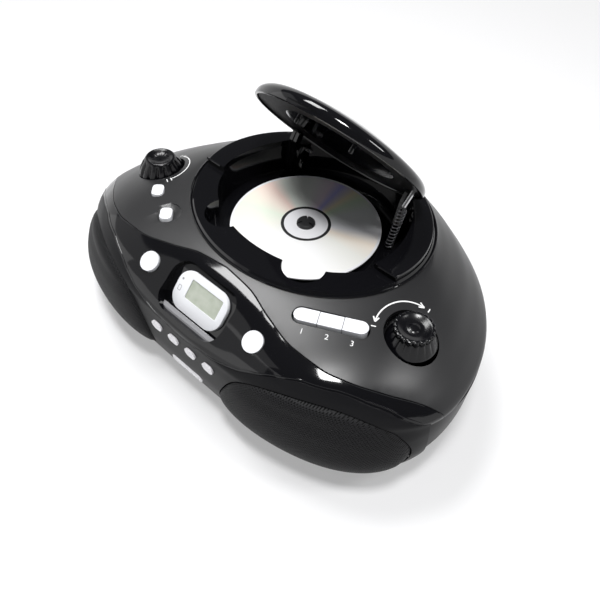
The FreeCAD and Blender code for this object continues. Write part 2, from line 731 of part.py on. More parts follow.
def main_board():
    board = box(-BOARD_HALF, BOARD_HALF, BOARD_FRONT, BOARD_REAR, BOARD_Z, BOARD_Z + BOARD_THICK)
    top = BOARD_Z + BOARD_THICK
    for x, y, w, d, h in ((-40, -20, 22, 14, 5), (10, -26, 14, 14, 2), (40, 0, 30, 10, 16), (-10, 8, 18, 8, 3)):
        board = board.fuse(box(x, x + w, y, y + d, top, top + h))
    for x in (-60, -47, 62):
        board = board.fuse(rod(5, (x, 14, top), (x, 14, top + 14)))
    return board


def board_posts():
    posts = None
    for x in (-BOARD_HALF + 6, BOARD_HALF - 6):
        for y in (BOARD_FRONT + 6, BOARD_REAR - 6):
            post = rod(3.5, (x, y, FOOT_HEIGHT + WALL), (x, y, BOARD_Z))
            posts = post if posts is None else posts.fuse(post)
    return posts


def transformer():
    x, y, z = TRANSFORMER_AT
    core = box(x - 24, x + 24, y - 10, y + 10, z + 4, z + 40).fuse(box(x - 24, x + 24, y - 14, y + 14, z, z + 4))
    return core.fuse(box(x - 14, x + 14, y - 18, y + 18, z + 12, z + 34))


def ac_inlet(outer, inner):
    x, z = INLET_X, INLET_Z
    half, rise = INLET_WIDTH / 2, INLET_HEIGHT / 2
    body = box(x - half - 3, x + half + 3, INLET_BACK, FAR, z - rise - 3, z + rise + 3).common(inner)
    neck = box(x - half, x + half, INLET_BACK, FAR, z - rise, z + rise).common(outer)
    cavity = box(x - half + 1.5, x + half - 1.5, INLET_BACK + 6, FAR, z - rise + 1.5, z + rise - 1.5)
    body = body.fuse(neck).cut(cavity)
    for sign in (-1, 1):
        pin = rod(1.2, (x + sign * 4.3, INLET_BACK + 5, z), (x + sign * 4.3, INLET_BACK + 15, z))
        body = body.fuse(pin)
    return body


def inlet_hole():
    half, rise = INLET_WIDTH / 2 + SEAM, INLET_HEIGHT / 2 + SEAM
    return box(INLET_X - half, INLET_X + half, 60, FAR, INLET_Z - rise, INLET_Z + rise)


def aux_jack(outer, inner):
    x, z = JACK_X, INLET_Z
    body = box(x - 6, x + 6, INLET_BACK, FAR, z - 6, z + 6).common(inner)
    barrel = rod(JACK_BARREL, (x, INLET_BACK, z), (x, FAR, z)).common(outer)
    return body.fuse(barrel).cut(rod(JACK_BORE, (x, JACK_BOTTOM, z), (x, FAR, z)))


def aerial_clips(inner):
    clips = None
    for x in AERIAL_CLIPS:
        clip = box(x - 2, x + 2, AERIAL_Y - 7, FAR, AERIAL_Z - 7, AERIAL_Z + 3).common(inner)
        clips = clip if clips is None else clips.fuse(clip)
    return clips.cut(ferrite_aerial())


def ferrite_aerial():
    return rod(AERIAL_RADIUS, (AERIAL_CLIPS[0] - 12, AERIAL_Y, AERIAL_Z), (AERIAL_CLIPS[1] + 12, AERIAL_Y, AERIAL_Z))


def battery_contacts():
    inside = TRAY_HALF_WIDTH - TRAY_WALL
    floor = FOOT_HEIGHT + WALL
    plates = []
    for sign in (-1, 1):
        for y in (TRAY_FRONT + 12, TRAY_REAR - 14):
            z = floor + 14
            plate = box(-0.25, 0.25, y - 8, y + 8, z - 8, z + 8)
            plate.translate(Vector(sign * (inside - 0.25), 0, 0))
            tip = Part.makeCone(5, 2, 5, Vector(sign * (inside - 0.4), y, z), Vector(-sign, 0, 0))
            plates.append(plate.fuse(tip))
    return Part.makeCompound(plates)


def save(name, shape):
    shape.exportStep("parts/" + name + ".step")


def build():
    nodes = {}
    outer = case_solid(0, 0.0, 0.0)
    inner = case_solid(-WALL, WALL, WALL)
    grown = case_solid(GRILLE_BULGE, 0.0, 0.0)
    shell = outer.cut(inner)
    deck_hole = Part.Face(deck_ellipse(DECK_LEDGE, DECK_HEIGHT - 20)).extrude(Vector(0, 0, 40))
    shell = shell.cut(deck_hole)

    lower = shell.common(below_seam(SEAM))
    front = lower.common(box(-FAR, FAR, -FAR, SPLIT_Y - SEAM, -FAR, FAR))
    rear = lower.common(box(-FAR, FAR, SPLIT_Y, FAR, -FAR, FAR))
    upper = shell.cut(below_seam(0.0))
    arch = before_arch(0.0)
    mask = upper.common(before_arch(SEAM))
    cover = upper.cut(arch).cut(well_tub(SEAM))

    for side in (-1, 1):
        cover = cover.fuse(knob_cup(side, outer)).cut(knob_pocket(side)).cut(shaft_hole(side))
        front = front.fuse(speaker_ring(side, outer))
        front = front.cut(rod(SPEAKER_RADIUS - 3, speaker_point(side, -1), speaker_point(side, 60)))

    display_at = (0, DISPLAY_Y, DISPLAY_Z)
    cup_outer = pill_face(BEZEL_WIDTH + 2 * CUP_MARGIN + 2 * CUP_WALL, BEZEL_HEIGHT + 2 * CUP_MARGIN + 2 * CUP_WALL,
                          BEZEL_CORNER + CUP_MARGIN + CUP_WALL)
    cup_inner = pill_face(BEZEL_WIDTH + 2 * CUP_MARGIN, BEZEL_HEIGHT + 2 * CUP_MARGIN, BEZEL_CORNER + CUP_MARGIN)
    bezel_face = pill_face(BEZEL_WIDTH, BEZEL_HEIGHT, BEZEL_CORNER)
    bezel_at = (BEZEL_SHIFT, DISPLAY_Y, DISPLAY_Z)
    cup_start = along(DISPLAY_TURN, bezel_at, -CUP_DEPTH)
    cup = block(cup_outer, 30, DISPLAY_TURN, cup_start).common(outer)
    floor_at = along(DISPLAY_TURN, bezel_at, -BEZEL_THICK)
    cup = cup.cut(block(cup_inner, 60, DISPLAY_TURN, floor_at))
    mask = mask.cut(block(cup_outer, 60, DISPLAY_TURN, cup_start))
    mask = mask.fuse(cup)
    lcd_back = along(DISPLAY_TURN, display_at, -LCD_THICK - 0.6)
    window = block(pill_face(LCD_WIDTH, LCD_HEIGHT, 1.0), LCD_THICK, DISPLAY_TURN, lcd_back)
    bezel = block(bezel_face, BEZEL_THICK, DISPLAY_TURN, floor_at)
    bezel = bezel.cut(block(pill_face(LCD_WIDTH, LCD_HEIGHT, 1.0), 20, DISPLAY_TURN, lcd_back))
    nodes["display_bezel"] = bezel
    nodes["lcd_panel"] = window

    keys = {}
    for name, side in (("previous_button", -1), ("next_button", 1)):
        at = (side * ROUND_X, ROUND_Y, ROUND_Z)
        face = pill_face(2 * ROUND_RADIUS, 2 * ROUND_RADIUS, ROUND_RADIUS)
        hole = pill_face(2 * (ROUND_RADIUS + KEY_GAP), 2 * (ROUND_RADIUS + KEY_GAP), ROUND_RADIUS + KEY_GAP)
        keys[name] = button(face, ROUND_TURN, at, 2.0)
        mask = mask.cut(block(hole, -30, ROUND_TURN, along(ROUND_TURN, at, 10)))
    for index, x in enumerate(OVAL_X):
        y = front_wall(x, OVAL_Z) - FRONT_KEY_PROUD
        at = (x, y, OVAL_Z)
        keys["function_button_%d" % (index + 1)] = button(pill_face(OVAL_WIDTH, OVAL_HEIGHT, OVAL_HEIGHT / 2),
                                                          FRONT_TURN, at, 1.0)
        hole = pill_face(OVAL_WIDTH + 2 * KEY_GAP, OVAL_HEIGHT + 2 * KEY_GAP, OVAL_HEIGHT)
        front = front.cut(block(hole, 20, FRONT_TURN, (x, y + 10, OVAL_Z)))
    pill_at = (0, front_wall(0, PILL_Z) - FRONT_KEY_PROUD, PILL_Z)
    keys["memory_button"] = button(pill_face(PILL_WIDTH, PILL_HEIGHT, PILL_HEIGHT), FRONT_TURN, pill_at, 1.5)
    hole = pill_face(PILL_WIDTH + 2 * KEY_GAP, PILL_HEIGHT + 2 * KEY_GAP, PILL_HEIGHT)
    front = front.cut(block(hole, 30, FRONT_TURN, (0, pill_at[1] + 12, PILL_Z)))

    row = pill_face(SOURCE_LENGTH, SOURCE_WIDTH, SOURCE_WIDTH / 2)
    row_hole = pill_face(SOURCE_LENGTH + 2 * KEY_GAP, SOURCE_WIDTH + 2 * KEY_GAP, SOURCE_WIDTH)
    source_at = (SOURCE_X, SOURCE_Y, SOURCE_TOP)
    cover = cover.cut(block(row_hole, -30, SOURCE_ROT, along(SOURCE_ROT, source_at, 10)))
    pitch = SOURCE_LENGTH / 3
    for index in range(3):
        x0 = -SOURCE_LENGTH / 2 + pitch * index + (KEY_GAP / 2 if index else 0)
        x1 = -SOURCE_LENGTH / 2 + pitch * (index + 1) - (KEY_GAP / 2 if index < 2 else 0)
        slab = box(x0, x1, -20, 20, -FAR, FAR)
        body = row.extrude(Vector(0, 0, -(WALL + KEY_STEM + 1))).common(slab)
        keys["source_key_%d" % (index + 1)] = place(body, SOURCE_ROT, source_at)
    for name, at in SQUARE_PLACES.items():
        keys[name] = button(pill_face(SQUARE_SIZE, SQUARE_SIZE, SQUARE_CORNER), SQUARE_ROT, at, 1.0)
        hole = pill_face(SQUARE_SIZE + 2 * KEY_GAP, SQUARE_SIZE + 2 * KEY_GAP, SQUARE_CORNER + KEY_GAP)
        cover = cover.cut(block(hole, -30, SQUARE_ROT, along(SQUARE_ROT, at, 10)))
    nodes.update(keys)

    door_zone = box(-TRAY_HALF_WIDTH + 2, TRAY_HALF_WIDTH - 2, TRAY_FRONT, FAR, 0, FOOT_HEIGHT + WALL)
    rear = rear.cut(door_zone)
    c = DOOR_CLEARANCE
    door_space = box(-TRAY_HALF_WIDTH + 2 + c, TRAY_HALF_WIDTH - 2 - c, TRAY_FRONT + c, FAR, 0,
                     FOOT_HEIGHT + WALL - c)
    nodes["battery_door"] = outer.common(door_space)
    z0 = FOOT_HEIGHT + WALL
    tray = box(-TRAY_HALF_WIDTH, TRAY_HALF_WIDTH, TRAY_FRONT - TRAY_WALL, TRAY_REAR, z0, z0 + TRAY_HEIGHT)
    tray = tray.cut(box(-TRAY_HALF_WIDTH + TRAY_WALL, TRAY_HALF_WIDTH - TRAY_WALL, TRAY_FRONT,
                        TRAY_REAR - TRAY_WALL, z0 - 1, z0 + TRAY_HEIGHT - TRAY_WALL))
    nodes["battery_tray"] = tray.common(inner.fuse(door_zone))
    nodes["battery_contacts"] = battery_contacts()
    rear = rear.fuse(board_posts()).fuse(aerial_clips(inner)).cut(inlet_hole())
    rear = rear.cut(rod(JACK_BARREL + SEAM, (JACK_X, 60, INLET_Z), (JACK_X, FAR, INLET_Z)))
    nodes["mains_inlet"] = ac_inlet(outer, inner)
    nodes["aux_jack"] = aux_jack(outer, inner)
    nodes["ferrite_aerial"] = ferrite_aerial()
    nodes["main_board"] = main_board()
    nodes["transformer"] = transformer()
    nodes["mechanism_frame"] = mount_frame()
    nodes["sled_rods"] = sled_rods()
    nodes["optical_pickup"] = optical_pickup()
    nodes["pickup_lens"] = rod(LENS_RADIUS, (LENS_X, DISC_Y, WELL_FLOOR - 1), (LENS_X, DISC_Y, WELL_FLOOR + 1))
    nodes["spindle_motor"] = spindle_motor()
    nodes["lid_spring"] = lid_spring()
    nodes["rear_cabinet"] = rear
    nodes["front_cabinet"] = front
    nodes["front_mask"] = mask
    nodes["top_cover"] = cover
    nodes["cd_well"] = cd_well()
    nodes["rear_crown"] = rear_crown()
    for name, side in (("left", -1), ("right", 1)):
        grille = grown.common(grille_prism(side, 0)).cut(outer)
        nodes["speaker_grille_" + name] = grille
        nodes["speaker_" + name] = speaker(side)
        nodes["lid_arm_" + name] = open_lid(lid_arm(side))
        nodes["hinge_pin_" + name] = hinge_pin(side)
    nodes["lid_shell"] = open_lid(lid_shell())
    nodes["lid_lining"] = open_lid(lid_lining())
    nodes["volume_knob"] = knob(-1, 12, 2.2)
    nodes["tuning_knob"] = knob(1, 16, 1.7)
    nodes["volume_control"] = pot(-1)
    nodes["tuning_capacitor"] = pot(1)
    disc = ring(DISC_RADIUS, DISC_HOLE, (0, DISC_Y, DISC_TOP - DISC_THICK), (0, DISC_Y, DISC_TOP))
    nodes["compact_disc"] = disc
    nodes["spindle_hub"] = spindle_hub()
    feet = [rod(FOOT_RADIUS, (x, y, 0), (x, y, FOOT_HEIGHT)) for x, y in FOOT_PLACES]
    nodes["rubber_feet"] = Part.makeCompound(feet)
    return nodes


os.makedirs("parts", exist_ok=True)
for node, solid in build().items():
    save(node, solid)
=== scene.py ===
import bmesh
import bpy
import json
import math
from mathutils import Matrix, Vector

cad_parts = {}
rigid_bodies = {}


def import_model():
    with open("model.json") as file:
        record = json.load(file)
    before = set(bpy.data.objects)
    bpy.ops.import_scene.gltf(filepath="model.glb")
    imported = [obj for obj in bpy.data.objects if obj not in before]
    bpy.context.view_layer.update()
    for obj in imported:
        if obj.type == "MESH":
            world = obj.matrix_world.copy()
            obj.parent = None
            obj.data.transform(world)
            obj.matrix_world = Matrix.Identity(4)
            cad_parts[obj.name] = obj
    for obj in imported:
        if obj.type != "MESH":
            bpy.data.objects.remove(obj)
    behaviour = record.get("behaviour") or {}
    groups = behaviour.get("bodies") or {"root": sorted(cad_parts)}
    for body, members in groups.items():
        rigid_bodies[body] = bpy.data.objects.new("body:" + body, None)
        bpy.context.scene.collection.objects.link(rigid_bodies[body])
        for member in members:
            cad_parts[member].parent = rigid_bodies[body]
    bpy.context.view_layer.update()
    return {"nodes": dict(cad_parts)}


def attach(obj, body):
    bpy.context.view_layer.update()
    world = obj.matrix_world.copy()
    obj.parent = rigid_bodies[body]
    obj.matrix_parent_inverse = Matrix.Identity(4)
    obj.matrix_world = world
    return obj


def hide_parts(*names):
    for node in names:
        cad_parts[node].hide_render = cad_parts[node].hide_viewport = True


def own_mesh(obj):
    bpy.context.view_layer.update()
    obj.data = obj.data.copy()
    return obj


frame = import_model()
nodes = frame["nodes"]

MM = 0.001
CASE_WIDTH = 350.0
CASE_FRONT = 124.0
CASE_REAR = 124.0
WALL = 2.5
SEAM = 0.4
SPLIT_Y = -54.0
EDGE_HEIGHT = 68.0
DECK_HEIGHT = 104.0
DECK_Y = 19.7
DECK_HALF_WIDTH = 101.4
DECK_HALF_DEPTH = 86.2
DECK_LEDGE = 4.0
DISC_Y = 14.0
DISC_TOP = 90.0
KNOB_X = 128.6
KNOB_Y = -24.5
KNOB_SEAT = 91.0
KNOB_TOP = 107.0
KNOB_RADIUS = 18.0
KNOB_GAP = 1.6
KEY_GAP = 0.35
LID_Y = 22.0
LID_HALF_WIDTH = 75.5
LID_HALF_DEPTH = 66.4
LID_BOTTOM = 107.2
LID_TOP = 127.0
LID_DOME_RADIUS = 225.0
LID_WALL = 2.4
LID_OPEN_DEG = 50.0
LID_EDGE_ROUND = 6.0
HINGE_Y = 75.2
HINGE_Z = 101.3
FINGER_NOTCH_WIDTH = 30.0
LINING_RAISE = 1.2
SPRING_X = 62.5
SPRING_Y = 50.0
SPRING_TOP = 122.0
SPRING_FOOT = (60.5, 43.0, 84.7)
SPRING_RADIUS = 3.0
SPRING_WIRE = 0.5
SPRING_TURNS = 12
HOOK_RADIUS = 1.6
FAR = 400.0

# Case sections: height, side inset, front inset, rear inset, widest y, squareness, scoop, scoop width
SECTIONS = (
    (3.0, 25.0, 21.0, 24.0, -25.0, 2.40, 0.0, 58.0),
    (8.0, 13.0, 13.0, 12.0, -26.0, 2.50, 1.0, 58.0),
    (18.0, 5.0, 7.0, 5.0, -28.0, 2.60, 2.0, 56.0),
    (40.0, 0.0, 1.5, 0.0, -31.0, 2.60, 4.0, 54.0),
    (57.0, 0.0, 1.5, 0.0, -31.0, 2.35, 4.0, 54.0),
    (70.0, 0.0, 1.5, 0.0, -31.0, 2.10, 4.0, 54.0),
    (76.0, 7.0, 2.5, 1.0, -31.0, 2.25, 7.0, 58.0),
    (82.0, 17.0, 5.0, 3.0, -31.0, 2.40, 12.0, 61.0),
    (87.0, 26.0, 9.5, 5.0, -29.5, 2.60, 15.0, 65.0),
    (92.0, 37.0, 14.0, 8.0, -27.0, 2.80, 16.0, 70.0),
    (97.0, 50.0, 25.0, 11.5, -17.0, 2.80, 12.0, 74.0),
    (101.0, 63.0, 40.0, 15.0, 0.0, 2.40, 5.0, 74.0),
    (DECK_HEIGHT, CASE_WIDTH / 2 - DECK_HALF_WIDTH - 0.4, CASE_FRONT + DECK_Y - DECK_HALF_DEPTH - 0.2,
     CASE_REAR - DECK_Y - DECK_HALF_DEPTH - 0.2, DECK_Y, 2.00, 0.0, 74.0),
)
SEAM_LINE = ((0, 68), (28, 70.5), (52, 76), (66, 81.5), (82, 87), (98, 90.5), (115, 90.2), (140, 84), (160, 75),
             (176, 66))
ARCH_LINE = ((0, -70), (25, -72.5), (50, -80), (79, -86), (100, -85), (121, -78.5), (142, -66), (160, -52),
             (178, -41))
GRILLE_LINE = ((38, 29), (46, 54), (60, 70), (85, 79), (118, 81), (145, 74), (162, 60), (168, 42), (160, 26),
               (130, 16), (90, 14), (55, 18))


# Smooth curves and the case surface

def hermite(xs, ys, x):
    """Smooth value at x through the given points, without overshoot."""
    index = max(0, min(len(xs) - 2, sum(1 for v in xs if v <= x) - 1))
    slopes = [(b - a) / (d - c) for a, b, c, d in zip(ys, ys[1:], xs, xs[1:])]

    def tangent(i):
        if i == 0 or i == len(xs) - 1:
            return slopes[min(i, len(slopes) - 1)]
        a, b = slopes[i - 1], slopes[i]
        return 2 * a * b / (a + b) if a * b > 0 else 0.0

    span = xs[index + 1] - xs[index]
    t = (x - xs[index]) / span
    t2, t3 = t * t, t * t * t
    return ((2 * t3 - 3 * t2 + 1) * ys[index] + (t3 - 2 * t2 + t) * span * tangent(index)
            + (3 * t2 - 2 * t3) * ys[index + 1] + (t3 - t2) * span * tangent(index + 1))


def row_at(z):
    heights = [row[0] for row in SECTIONS]
    return [hermite(heights, [row[i] for row in SECTIONS], z) for i in range(1, 8)]


def case_point(row, angle, grow):
    side, front, rear, widest, power, scoop, scoop_width = row
    across, along = math.cos(angle), math.sin(angle)
    half = CASE_WIDTH / 2 - side + grow
    if along < 0:
        reach, n = CASE_FRONT - front + widest + grow, power
    else:
        reach, n = CASE_REAR - rear - widest + grow, 2.0
    radius = (abs(across / half) ** n + abs(along / reach) ** n) ** (-1 / n)
    x, y = radius * across, widest + radius * along
    if along < 0:
        y += scoop * math.exp(-(abs(x) / scoop_width) ** 3)
    return x, y


def front_y(x, z):
    side, front, rear, widest, power, scoop, scoop_width = row_at(z)
    reach = CASE_FRONT - front + widest
    flat = max(0.0, 1 - (abs(x) / (CASE_WIDTH / 2 - side)) ** power) ** (1 / power)
    return widest - reach * flat + scoop * math.exp(-(abs(x) / scoop_width) ** 3)


def top_z(x, y):
    """Height of the case surface over a place in plan, found by halving."""
    low, high = 60.0, DECK_HEIGHT
    for _ in range(30):
        middle = (low + high) / 2
        row = row_at(middle)
        angle = math.atan2(y - row[3], x)
        px, py = case_point(row, angle, 0.0)
        inside = math.hypot(x, y - row[3]) < math.hypot(px, py - row[3])
        low, high = (middle, high) if inside else (low, middle)
    return (low + high) / 2


def smooth_line(points, steps):
    """Dense points of a smooth curve through points that run along x."""
    xs, ys = [p[0] for p in points], [p[1] for p in points]
    count = steps * (len(points) - 1)
    dense = [xs[0] + (xs[-1] - xs[0]) * i / count for i in range(count + 1)]
    return [(x, hermite(xs, ys, x)) for x in dense]


def closed_curve(points, steps):
    """Catmull-Rom curve through a closed ring of points."""
    out = []
    n = len(points)
    for i in range(n):
        p = [Vector(points[(i + k) % n]) for k in (-1, 0, 1, 2)]
        for s in range(steps):
            t = s / steps
            out.append(0.5 * (2 * p[1] + (p[2] - p[0]) * t + (2 * p[0] - 5 * p[1] + 4 * p[2] - p[3]) * t * t
                              + (3 * p[1] - p[0] - 3 * p[2] + p[3]) * t ** 3))
    return out


def mirrored(line):
    return [(-x, v) for x, v in reversed(line[1:])] + list(line)


# Mesh helpers: everything is drawn in millimetres and stored in metres

def new_object(name, verts, faces, smooth=True):
    mesh = bpy.data.meshes.new(name)
    mesh.from_pydata([Vector(v) * MM for v in verts], [], faces)
    mesh.update()
    bm = bmesh.new()
    bm.from_mesh(mesh)
    bmesh.ops.remove_doubles(bm, verts=bm.verts, dist=1e-7)
    bmesh.ops.recalc_face_normals(bm, faces=bm.faces)
    bm.to_mesh(mesh)
    bm.free()
    for poly in mesh.polygons:
        poly.use_smooth = smooth
    obj = bpy.data.objects.new(name, mesh)
    bpy.context.scene.collection.objects.link(obj)
    return obj


def stack(name, rings, cap=True):
    """Closed mesh through rings of equally many points."""
    count = len(rings[0])
    verts = [p for ring in rings for p in ring]
    faces = []
    for r in range(len(rings) - 1):
        for i in range(count):
            j = (i + 1) % count
            faces.append((r * count + i, r * count + j, (r + 1) * count + j, (r + 1) * count + i))
    if cap:
        faces.append(tuple(reversed(range(count))))
        faces.append(tuple(range((len(rings) - 1) * count, len(rings) * count)))
    return new_object(name, verts, faces)


def prism(name, outline, low, high, place):
    """Straight prism over a flat outline; place turns (a, b, c) into a point."""
    return stack(name, [[place(a, b, low) for a, b in outline], [place(a, b, high) for a, b in outline]])


def plan(a, b, c):
    return (a, b, c)


def front_plane(a, b, c):
    return (a, c, b)


def lathe(name, profile, centre, segments=96, flutes=0, depth=None):
    rings = []
    for radius, z in profile:
        ring = []
        for i in range(segments):
            angle = 2 * math.pi * i / segments
            r = radius
            if flutes:
                r -= depth(radius, z) * (0.5 + 0.5 * math.cos(flutes * angle)) ** 3
            ring.append((centre[0] + r * math.cos(angle), centre[1] + r * math.sin(angle), centre[2] + z))
        rings.append(ring)
    return stack(name, rings)


def circle(x, y, radius, count=72):
    return [(x + radius * math.cos(2 * math.pi * i / count), y + radius * math.sin(2 * math.pi * i / count))
            for i in range(count)]


def pill(length, width, corner, count=12):
    """Rounded rectangle round the origin."""
    r = min(corner, length / 2, width / 2)
    out = []
    for sx, sy, start in ((1, 1, 0), (-1, 1, 90), (-1, -1, 180), (1, -1, 270)):
        for i in range(count + 1):
            angle = math.radians(start + 90 * i / count)
            out.append((sx * (length / 2 - r) + r * math.cos(angle), sy * (width / 2 - r) + r * math.sin(angle)))
    return out


def turned(axis, degrees, at):
    """Place that turns flat drawing coordinates about an axis and moves them."""
    matrix = Matrix.Rotation(math.radians(degrees), 3, axis)
    return lambda a, b, c: tuple(matrix @ Vector((a, b, c)) + Vector(at))


def carve(target, tool, operation="DIFFERENCE"):
    modifier = target.modifiers.new("cut", "BOOLEAN")
    modifier.operation = operation
    modifier.solver = "EXACT"
    modifier.object = tool
    bpy.context.view_layer.update()
    made = bpy.data.meshes.new_from_object(target.evaluated_get(bpy.context.evaluated_depsgraph_get()))
    target.modifiers.clear()
    old = target.data
    target.data = made
    bpy.data.meshes.remove(old)
    return target


def discard(*objects):
    for obj in objects:
        bpy.data.objects.remove(obj)


def duplicate(obj, name):
    other = obj.copy()
    other.data = obj.data.copy()
    other.name = name
    bpy.context.scene.collection.objects.link(other)
    return other


def settle(obj, body, material, node=None, sharp=30):
    """Gives a finished piece its body and material, and hides the node it stands for."""
    obj.data.materials.clear()
    obj.data.materials.append(material)
    obj.data.shade_smooth()
    obj.data.set_sharp_from_angle(angle=math.radians(sharp))
    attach(obj, body)
    if node:
        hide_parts(node)
    return obj


# Materials

def material(name, colour, rough, metallic=0.0, coat=0.0, specular=0.5):
    mat = bpy.data.materials.new(name)
    mat.use_nodes = True
    shader = mat.node_tree.nodes["Principled BSDF"]
    shader.inputs["Base Color"].default_value = (*colour, 1)
    shader.inputs["Roughness"].default_value = rough
    shader.inputs["Metallic"].default_value = metallic
    shader.inputs["Coat Weight"].default_value = coat
    shader.inputs["Coat Roughness"].default_value = 0.05
    shader.inputs["Specular IOR Level"].default_value = specular
    return mat


def add(mat, kind, **values):
    node = mat.node_tree.nodes.new(kind)
    for key, value in values.items():
        if key in node.inputs:
            node.inputs[key].default_value = value
        else:
            setattr(node, key, value)
    return node


def link(mat, source, output, target, name):
    mat.node_tree.links.new(source.outputs[output], target.inputs[name])


def ramp(mat, stops):
    node = add(mat, "ShaderNodeValToRGB")
    elements = node.color_ramp.elements
    while len(elements) < len(stops):
        elements.new(0.5)
    for element, (at, colour) in zip(elements, stops):
        element.position = at
        element.color = (*colour, 1)
    return node


def grain(mat, scale, low, high, bump=0.0, detail=3.0):
    """Roughness that varies with a fine noise, and a bump from the same noise."""
    shader = mat.node_tree.nodes["Principled BSDF"]
    where = add(mat, "ShaderNodeTexCoord")
    noise = add(mat, "ShaderNodeTexNoise", Scale=scale, Detail=detail)
    link(mat, where, "Object", noise, "Vector")
    spread = add(mat, "ShaderNodeMapRange")
    spread.inputs["To Min"].default_value = low
    spread.inputs["To Max"].default_value = high
    link(mat, noise, "Fac", spread, "Value")
    link(mat, spread, "Result", shader, "Roughness")
    if bump:
        node = add(mat, "ShaderNodeBump", Strength=bump, Distance=0.0002)
        link(mat, noise, "Fac", node, "Height")
        link(mat, node, "Normal", shader, "Normal")
    return mat


def perforated(mat, pitch):
    """Rows of round holes on a staggered grid over x and z, painted near-black inside for the shade behind them."""
    shader = mat.node_tree.nodes["Principled BSDF"]
    where = add(mat, "ShaderNodeTexCoord")
    parts = add(mat, "ShaderNodeSeparateXYZ")
    link(mat, where, "Object", parts, "Vector")

    def maths(operation, a, b=None, c=None):
        node = add(mat, "ShaderNodeMath", operation=operation)
        for index, value in enumerate((a, b, c)):
            if value is None:
                continue
            if isinstance(value, (int, float)):
                node.inputs[index].default_value = value
            else:
                mat.node_tree.links.new(value, node.inputs[index])
        return node.outputs[0]

    x, z = parts.outputs["X"], parts.outputs["Z"]
    u = maths("MULTIPLY", maths("ADD", x, z), 2 * math.pi / pitch)
    v = maths("MULTIPLY", maths("SUBTRACT", x, z), 2 * math.pi / pitch)
    wave = maths("ADD", maths("COSINE", u), maths("COSINE", v))
    hole_and_shade = maths("SMOOTH_MAX", wave, 0.0, 0.3)
    # Painted shade: the colour goes near-black where the holes are, standing in for the dark behind the openings.
    shade = ramp(mat, [(0.0, (0.014, 0.014, 0.015)), (0.35, (0.010, 0.010, 0.011)), (0.75, (0.0005, 0.0005, 0.0005))])
    half = maths("MULTIPLY", hole_and_shade, 0.5)
    mat.node_tree.links.new(half, shade.inputs["Fac"])
    link(mat, shade, "Color", shader, "Base Color")
    bump = add(mat, "ShaderNodeBump", Strength=0.8, Distance=0.0006)
    bump.invert = True
    mat.node_tree.links.new(half, bump.inputs["Height"])
    link(mat, bump, "Normal", shader, "Normal")
    return mat


def foil_and_painted_sheen(mat):
    """Silver foil with pale spectral fans that run out from the middle of the disc: a painted rainbow sheen, fixed
    colour in place of the light that the disc splits.
    """
    shader = mat.node_tree.nodes["Principled BSDF"]
    where = add(mat, "ShaderNodeTexCoord")
    shift = add(mat, "ShaderNodeMapping")
    shift.inputs["Location"].default_value = (0.0, -DISC_Y * MM, 0.0)
    link(mat, where, "Object", shift, "Vector")
    sheen_fan = add(mat, "ShaderNodeTexGradient", gradient_type="RADIAL")
    link(mat, shift, "Vector", sheen_fan, "Vector")
    # Painted reflection: these pale hues by angle stand in for the rainbow sheen of light off the disc.
    colours = ramp(mat, [
        (0.0, (0.96, 0.86, 0.76)), (0.05, (0.86, 0.93, 0.80)), (0.12, (0.95, 0.95, 0.87)), (0.20, (0.97, 0.97, 0.97)),
        (0.40, (0.96, 0.96, 0.96)), (0.50, (0.93, 0.93, 0.88)), (0.55, (0.98, 0.88, 0.76)), (0.59, (0.90, 0.90, 0.93)),
        (0.67, (0.88, 0.91, 0.90)), (0.715, (0.80, 0.93, 0.72)), (0.74, (0.98, 0.90, 0.68)), (0.775, (0.58, 0.56, 0.98)),
        (0.80, (0.93, 0.80, 0.93)), (0.85, (0.93, 0.95, 0.92)), (0.92, (0.88, 0.93, 0.86)), (0.955, (0.98, 0.76, 0.68)),
        (1.0, (0.96, 0.86, 0.76))])
    for element in colours.color_ramp.elements:
        element.color = (*[0.82 * part for part in element.color[:3]], 1)
    link(mat, sheen_fan, "Fac", colours, "Fac")
    link(mat, colours, "Color", shader, "Base Color")
    return mat


def mottled(mat, scale, colours):
    shader = mat.node_tree.nodes["Principled BSDF"]
    where = add(mat, "ShaderNodeTexCoord")
    noise = add(mat, "ShaderNodeTexNoise", Scale=scale, Detail=4.0)
    link(mat, where, "Object", noise, "Vector")
    shade = ramp(mat, [(0.35, colours[0]), (0.65, colours[1])])
    link(mat, noise, "Fac", shade, "Fac")
    link(mat, shade, "Color", shader, "Base Color")
    return mat


SATIN = grain(material("satin_black", (0.012, 0.012, 0.013), 0.34), 1800, 0.31, 0.38, 0.04)
CABINET = grain(material("cabinet_black", (0.008, 0.008, 0.009), 0.36, specular=0.10), 1800, 0.33, 0.4, 0.04)
GLOSS = grain(material("gloss_black", (0.004, 0.004, 0.005), 0.08, coat=0.22, specular=0.32), 30, 0.05, 0.10)
LINING = grain(material("lining_black", (0.005, 0.005, 0.006), 0.45, specular=0.12), 700, 0.4, 0.5, 0.03)
KNOB = grain(material("knob_black", (0.003, 0.003, 0.004), 0.22, specular=0.35), 900, 0.18, 0.26, 0.02)
POCKET = grain(material("pocket_black", (0.006, 0.006, 0.007), 0.25), 900, 0.2, 0.3, 0.02)
MESH = perforated(material("speaker_mesh", (0.01, 0.01, 0.011), 0.5, specular=0.10), 2.0 * MM)
WHITE = grain(material("key_white", (0.78, 0.79, 0.82), 0.22, coat=0.4), 700, 0.18, 0.26, 0.02)
PEARL = grain(material("key_pearl", (0.86, 0.85, 0.88), 0.22, metallic=0.06, coat=0.5), 900, 0.18, 0.26, 0.02)
